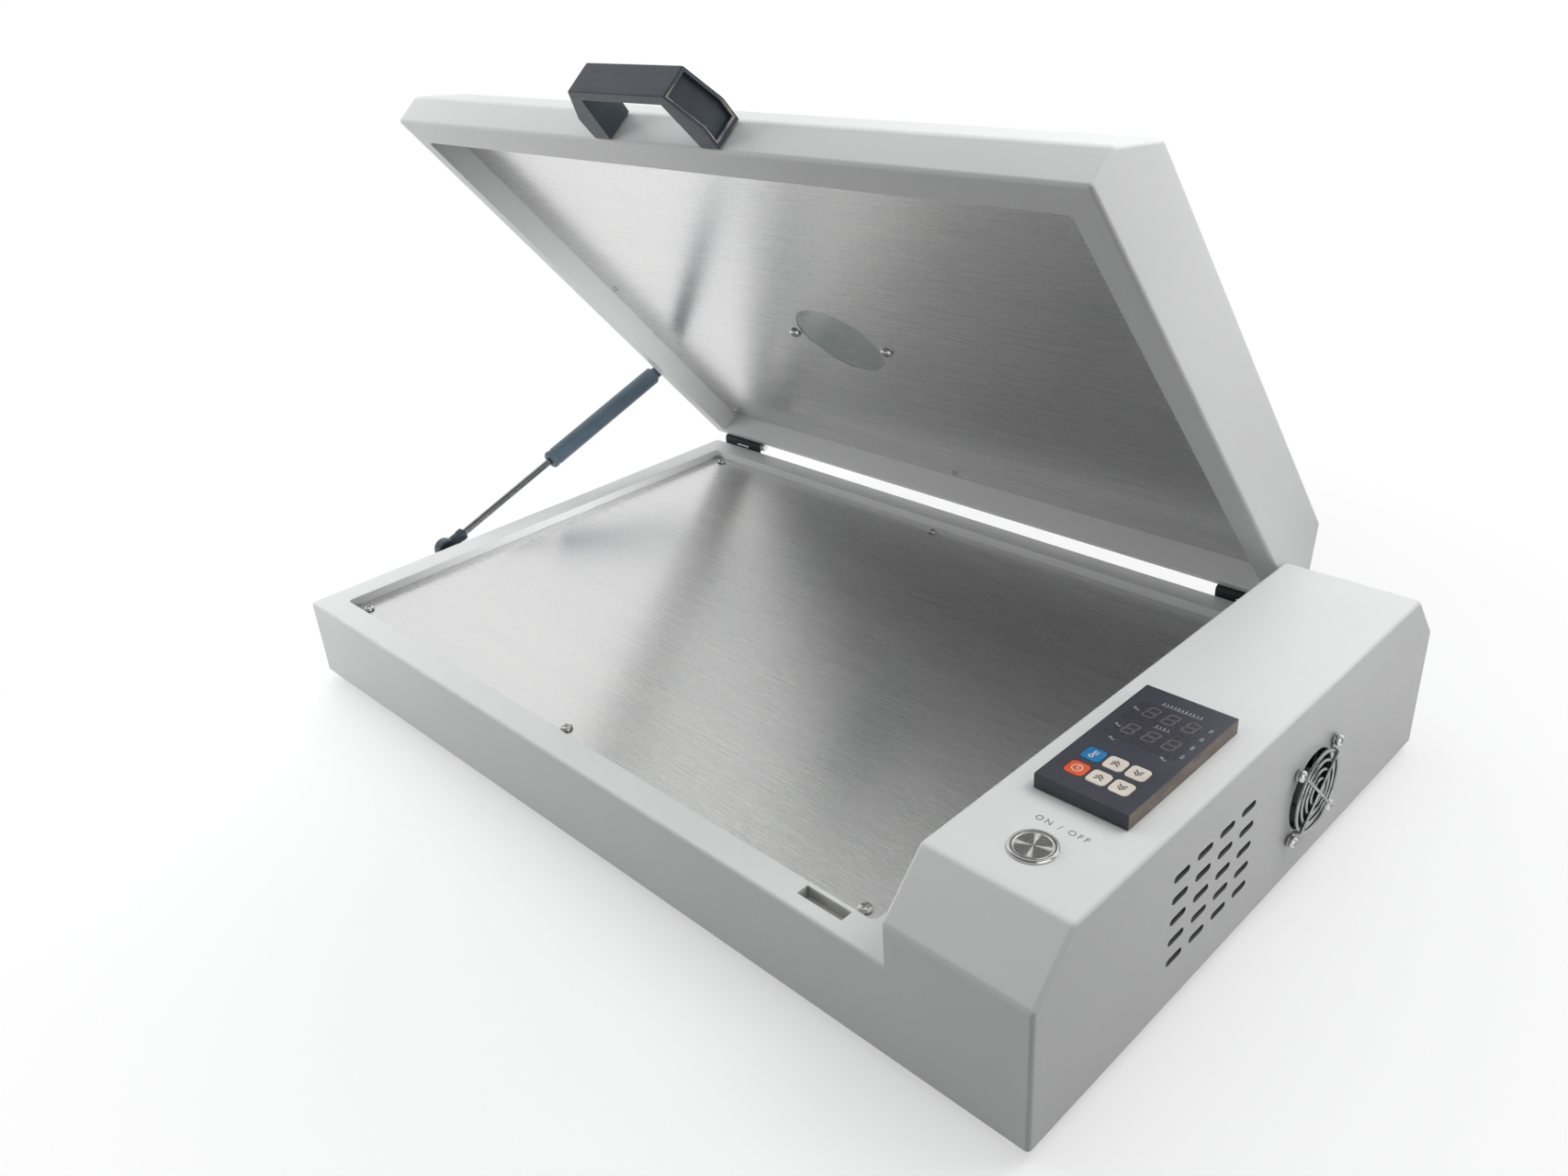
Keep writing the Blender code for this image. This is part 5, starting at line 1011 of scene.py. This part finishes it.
# Tick marks over the digits, and small round marks beside them
SCALE_PITCH = 0.0019
TICK_LENGTHS = (0.0017, 0.0011)
TICK_WIDTH = 0.00055
BASELINE_DROP = 0.0014
BASELINE_WIDTH = 0.00028
DOT_RADIUS = 0.00055
DOT_LINE = 0.0004
DOT_RISE = 0.0006
DOT_STEPS = 16
LINE_WIDTH = 0.0006
RIGHT_COLUMN = 0.0193
marks = bmesh.new()
for count, x, y in ((11, 0.0012, 0.0838), (4, 0.0014, 0.0652)):
    for k in range(count):
        place = x + (k - (count - 1) / 2) * SCALE_PITCH
        dash(marks, place, y, TICK_LENGTHS[k % 2], TICK_WIDTH, across=True)
    dash(marks, x, y - BASELINE_DROP, SCALE_PITCH * count, BASELINE_WIDTH)
for x, y in ((-0.0165, 0.0722), (-0.0160, 0.0552), (-0.0122, 0.0440), (0.0136, 0.0442)):
    ring_mark(marks, x - 0.0009, y + DOT_RISE, DOT_RADIUS, DOT_LINE, steps=DOT_STEPS)
    dash(marks, x + 0.0008, y - 0.0004, 0.0016, LINE_WIDTH)
for y in (0.0768, 0.0682, 0.0598, 0.0510):
    ring_mark(marks, RIGHT_COLUMN, y + DOT_RISE, DOT_RADIUS, DOT_LINE, steps=DOT_STEPS)
    dash(marks, RIGHT_COLUMN, y - 0.0010, 0.0014, LINE_WIDTH)
add_shape("panel_marks", marks, "black", "base", material=PRINT_LOOK)


CHEVRON = 0.0019
CHEVRON_RISES = (-0.0009, 0.0009)
CHEVRON_LINE = 0.0006


def chevrons(bm, place, way):
    """Two arrow heads, one over the other."""
    for rise in CHEVRON_RISES:
        foot = rise - way * CHEVRON / 2
        peak = rise + way * CHEVRON / 2
        outline = bent_stroke((-CHEVRON, foot), (0.0, peak), (CHEVRON, foot), CHEVRON_LINE)
        mark(bm, outline, place)


def clock(bm, place):
    """A dial with two hands."""
    ring_mark(bm, 0, 0, 0.0024, 0.0005, place, steps=36)
    mark(bm, bent_stroke((0.0, 0.0017), (0.0, 0.0), (0.0012, -0.0007), 0.00045), place)


def thermometer(bm, place):
    """A bulb, a stem and three degree marks."""
    ring_mark(bm, -0.0004, -0.0018, 0.0010, 0.0005, place)
    mark(bm, stroke((-0.0004, -0.0001), (-0.0004, 0.0026), 0.0007), place)
    for k in range(3):
        dash(bm, 0.0011, 0.0002 + k * 0.0011, 0.0011, 0.0004, place)


for name in KEYS:
    symbol = bmesh.new()
    place = top_of(name)
    look = LOOKS["cream"]
    if name.endswith(("up", "down")):
        chevrons(symbol, place, 1 if name.endswith("up") else -1)
        look = DARK_INK
    elif name == "key_red":
        clock(symbol, place)
    else:
        thermometer(symbol, place)
    add_shape(f"{name}_symbol", symbol, "cream", BODY_OF[name], material=look)


# Lettering on the pod, between the push button and the controller

def lettering(name, words, place):
    """Words printed on the base, as a thin raised mesh."""
    curve = bpy.data.curves.new(name, "FONT")
    curve.body = words
    curve.size = LETTER_SIZE
    curve.align_x = "CENTER"
    curve.align_y = "CENTER"
    curve.extrude = MARK_HEIGHT / 2
    curve.space_character = LETTER_SPACING
    text = new_object(name, curve)
    graph = bpy.context.evaluated_depsgraph_get()
    mesh = bpy.data.meshes.new_from_object(text.evaluated_get(graph))
    bpy.data.objects.remove(text)
    bpy.data.curves.remove(curve)
    mesh.transform(place)
    mesh.materials.clear()
    mesh.materials.append(INK_LOOK)
    add_piece(name, mesh, "base")


ABOVE_POD = 0.2
LETTERS_FROM_PANEL = 0.016
LETTERS_ASIDE = 0.002
pod_top = hit("base_housing", (PANEL.translation.x, PANEL_LOW.y - LETTERS_FROM_PANEL, ABOVE_POD), DOWN)
letters_at = pod_top + Vector((LETTERS_ASIDE, 0, MARK_LIFT + MARK_HEIGHT / 2))
lettering("on_off_lettering", "ON / OFF", Matrix.Translation(letters_at))


# Push button

bm = bmesh.new()
lathe(bm, top_of("button_bezel"), [
    (0.0095, -0.0070), (0.0095, -0.0003), (0.00957, -0.00008), (0.0097, 0.0), (0.0101, 0.0),
    (0.0105, -0.00018), (0.01085, -0.00055), (0.0110, -0.0010), (0.0110, -0.0013), (0.0100, -0.0013),
    (0.0100, -0.0233), (0.0095, -0.0233),
], ROUND_SIDES, closed=True)
add_shape("button_ring", bm, "chrome", "base", ("button_bezel",), 40.0)
CAP_FACE = 0.0079    # radius of the spun face inside the bright rim
bm = bmesh.new()
lathe(bm, UNTURNED, [
    (0.0, -0.0060), (0.0092, -0.0060), (0.0092, -0.0005), (0.00912, -0.0002), (0.0089, 0.0),
    (0.0086, 0.0), (0.0084, -0.0001), (0.0082, -0.00028), (CAP_FACE, -0.0003), (0.0, -0.0003),
], ROUND_SIDES)
bmesh.ops.recalc_face_normals(bm, faces=bm.faces)
cap = finish_mesh("button_cap_spun", bm, BUTTON_STEEL_PAINTED_SPOKES, 50.0)
cap.materials.append(LOOKS["chrome"])
for face in cap.polygons:
    face.material_index = int(face.center.xy.length > CAP_FACE)
add_piece("button_cap_spun", cap, "button_cap", ("button_cap",), top_of("button_cap"))


# Fan, guard and inlet

dress("fan_frame", material=FAN_BLACK)
dress("fan_rotor", material=FAN_BLACK)
WIRE = 0.0009
EYE = 0.0034
RING_RADIUS = 0.0222
RING_PITCH = 0.005
RING_COUNT = 4
RING_DROP = 0.0011    # from the cross wires to the rings behind them
HEEL_CUT = 0.0004    # corners of the bent cross wires
BEND_RUN = 0.0003
BEND_DROP = 0.0005
low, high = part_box("fan_guard")
FAN_MIDDLE = Vector((0, (low.y + high.y) / 2, (low.z + high.z) / 2))
foot_x = low.x + WIRE
cross_x = high.x - WIRE
corner = ((high.y - low.y) / 2 - EYE) * math.sqrt(2)


def hoop(bm, middle, radius, steps):
    """A ring of wire facing right."""
    points = [middle + radius * Vector((0, math.cos(a), math.sin(a))) for a in turns_of(steps)]
    tube(bm, points, WIRE, WIRE_SIDES, closed=True)


bm = bmesh.new()
for k in range(RING_COUNT):
    middle = FAN_MIDDLE + Vector((cross_x - RING_DROP, 0, 0))
    hoop(bm, middle, RING_RADIUS - k * RING_PITCH, HOOP_STEPS)
reach = corner - EYE + WIRE / 2
heel = corner - EYE - WIRE
bend = RING_RADIUS + WIRE
half = [
    (reach, foot_x), (heel, foot_x), (heel - HEEL_CUT, foot_x + HEEL_CUT),
    (bend + BEND_RUN, cross_x - BEND_DROP), (bend, cross_x),
]
path = [(-a, x) for a, x in half] + [(a, x) for a, x in reversed(half)]
for turn in (math.pi / 4, -math.pi / 4):
    out = Vector((0, math.cos(turn), math.sin(turn)))
    tube(bm, [FAN_MIDDLE + Vector((x, 0, 0)) + out * a for a, x in path], WIRE, WIRE_SIDES)
for a in (-1, 1):
    for b in (-1, 1):
        middle = FAN_MIDDLE + Vector((foot_x, a * corner / math.sqrt(2), b * corner / math.sqrt(2)))
        hoop(bm, middle, EYE - WIRE, EYE_STEPS)
add_shape("fan_guard_wires", bm, "chrome", "base", ("fan_guard",), 60.0, GUARD_LOOK)

low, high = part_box("power_inlet")
PINS = (low + high) / 2 + Vector((0, 0.001, 0))
PIN_REGION = Vector((0.0105, 0.0060, 0.0078))


def on_pin(point):
    """Whether a point is on a contact pin, inside the inlet's mouth."""
    return all(abs(away) < most for away, most in zip(point - PINS, PIN_REGION))


dress("power_inlet", accent=BRASS, accented=on_pin)
add_screws("inlet", [
    Vector((x, high.y, (low.z + high.z) / 2)) for x in (low.x + INLET_SCREW_INSET, high.x - INLET_SCREW_INSET)
], BACKWARD, "base")


# Camera

corner = Vector((CASING_HIGH.x, CASING_LOW.y, CASING_LOW.z))
flat = math.cos(CAMERA_ELEVATION)
backward = Vector((
    math.sin(CAMERA_AZIMUTH) * flat, -math.cos(CAMERA_AZIMUTH) * flat, math.sin(CAMERA_ELEVATION),
))
level = (-backward).cross(UP).normalized()
upward = level.cross(-backward)
axis_x = math.cos(CAMERA_ROLL) * level + math.sin(CAMERA_ROLL) * upward
axis_y = -math.sin(CAMERA_ROLL) * level + math.cos(CAMERA_ROLL) * upward
camera_data = bpy.data.cameras.new("photo_camera")
camera_data.sensor_width = SENSOR_WIDTH
camera_data.lens = FOCAL_PIXELS * SENSOR_WIDTH / IMAGE_WIDTH
camera_data.clip_start = CAMERA_NEAR
camera = new_object("photo_camera", camera_data)
camera_turn = Matrix((axis_x, axis_y, backward)).transposed().to_4x4()
camera.matrix_world = Matrix.Translation(corner + CAMERA_FROM_CORNER) @ camera_turn
bpy.context.scene.camera = camera


# Studio

WHITE = (1.0, 1.0, 1.0, 1.0)
BRIGHT_WAY = Vector((-0.45, 0.88, 0.12)).normalized()
FLOOR_RADIUS = 5.0
FLOOR_LEVEL = -0.0003
FLOOR_TONE = 0.90
FLOOR_BOUNCE = 0.34    # tone of the floor to the light that it throws back


def light_path(tree):
    """1 on camera rays, and 1 on camera, gloss or see-through rays."""
    path = add_node(tree, "ShaderNodeLightPath", {}).outputs
    seen = compute(tree, "MAXIMUM", path["Is Camera Ray"], path["Is Glossy Ray"])
    return path["Is Camera Ray"], compute(tree, "MAXIMUM", seen, path["Is Transmission Ray"])


def mix_shaders(tree, factor, first, second):
    """The first shader where the factor is 0, the second where it is 1."""
    return add_node(tree, "ShaderNodeMixShader", {0: factor, 1: first, 2: second}).outputs[0]


def background(tree, strength=1.0):
    """White light of a strength."""
    return add_node(tree, "ShaderNodeBackground", {"Color": WHITE, "Strength": strength}).outputs[0]


def studio_world():
    """White to the camera. Lit softly from behind and above, with a dark side to the front."""
    world = bpy.data.worlds.new("studio")
    bpy.context.scene.world = world
    world.use_nodes = True
    tree = world.node_tree
    tree.nodes.clear()
    bright = measure(tree, "DOT_PRODUCT", coordinates(tree, "Generated"), BRIGHT_WAY)
    camera_ray, shown = light_path(tree)
    soft = background(tree, map_range(tree, bright, -0.6, 0.6, 0.20, 0.50, "SMOOTHSTEP"))
    gloss = background(tree, map_range(tree, bright, 0.04, 0.48, 0.15, 1.0, "SMOOTHSTEP"))
    unseen = mix_shaders(tree, shown, soft, gloss)
    whole = mix_shaders(tree, camera_ray, unseen, background(tree))
    add_node(tree, "ShaderNodeOutputWorld", {"Surface": whole})


def studio_floor():
    """A pale floor that keeps the shadow near the oven and runs out to white."""
    bm = bmesh.new()
    bmesh.ops.create_circle(bm, cap_ends=True, segments=96, radius=FLOOR_RADIUS)
    mesh = bpy.data.meshes.new("floor")
    bm.to_mesh(mesh)
    bm.free()
    floor = new_object("floor", mesh)
    floor.location.z = FLOOR_LEVEL
    mat = make_material("floor", (FLOOR_TONE,) * 3, 0.9)
    tree = mat.node_tree
    camera_ray, shown = light_path(tree)
    bounce = (*(FLOOR_BOUNCE,) * 3, 1.0)
    tone = (*(FLOOR_TONE,) * 3, 1.0)
    set_colour(mat, mix(tree, shown, bounce, tone, "RGBA"))
    place = coordinates(tree, "Object")
    backward_left = measure(tree, "DOT_PRODUCT", place, (-0.7, 0.7, 0.0))
    mirrored = map_range(tree, backward_left, 0.08, 0.36, 0.25, 1.0, "SMOOTHSTEP")
    distance = measure(tree, "LENGTH", place)
    seen = map_range(tree, distance, 0.30, 0.60, 0.45, 1.0, "SMOOTHSTEP")
    share = compute(tree, "MULTIPLY", mix(tree, camera_ray, mirrored, seen), shown)
    glow = add_node(tree, "ShaderNodeEmission", {})
    mixed = mix_shaders(tree, share, shader_of(mat).outputs[0], glow.outputs[0])
    tree.links.new(mixed, tree.nodes["Material Output"].inputs["Surface"])
    mesh.materials.append(mat)


def area_light(name, place, target, size, level, gloss_only=False, tint=WHITE[:3], spread_deg=180.0):
    """A square lamp that lights the target about as brightly as the level."""
    lamp = bpy.data.lights.new(name, "AREA")
    lamp.shape = "SQUARE"
    lamp.color = tint
    lamp.size = size
    lamp.spread = math.radians(spread_deg)
    way = Vector(place) - Vector(target)
    lamp.energy = level * math.pi ** 2 * way.length_squared
    light = new_object(name, lamp)
    light.matrix_world = along(place, way)
    light.visible_camera = False
    light.visible_glossy = gloss_only
    light.visible_diffuse = not gloss_only


studio_world()
studio_floor()
area_light("key", (0.6, 0.9, 1.7), (0.1, 0.05, 0.1), 1.6, 0.16)
area_light("overhead", (-0.2, -0.25, 1.5), (-0.1, -0.1, 0.1), 0.9, 0.18, tint=(0.95, 0.99, 1.0))
area_light("left_fill", (-0.75, -0.60, 0.42), (-0.29, -0.2, 0.05), 0.5, 0.80)
area_light("left_back", (-0.80, 0.10, 0.55), (-0.285, 0.0, 0.06), 0.5, 0.55)
area_light("right_fill", (0.46, 0.18, 0.66), (0.23, 0.0, 0.25), 0.4, 0.82)
area_light("side_fill", (0.80, 0.05, 0.46), (0.24, 0.04, 0.25), 0.3, 0.018, spread_deg=40.0)
# In the bed's hollow, so that the closed lid shuts it in
area_light("wall_fill", (0.19, -0.03, 0.082), (-0.29, 0.0, 0.13), 0.04, 0.09, spread_deg=50.0)
area_light("right_gloss", (1.4, -0.3, 0.5), (0.0, 0.0, 0.06), 1.2, 0.25, gloss_only=True)

bpy.context.scene.view_settings.view_transform = "Standard"
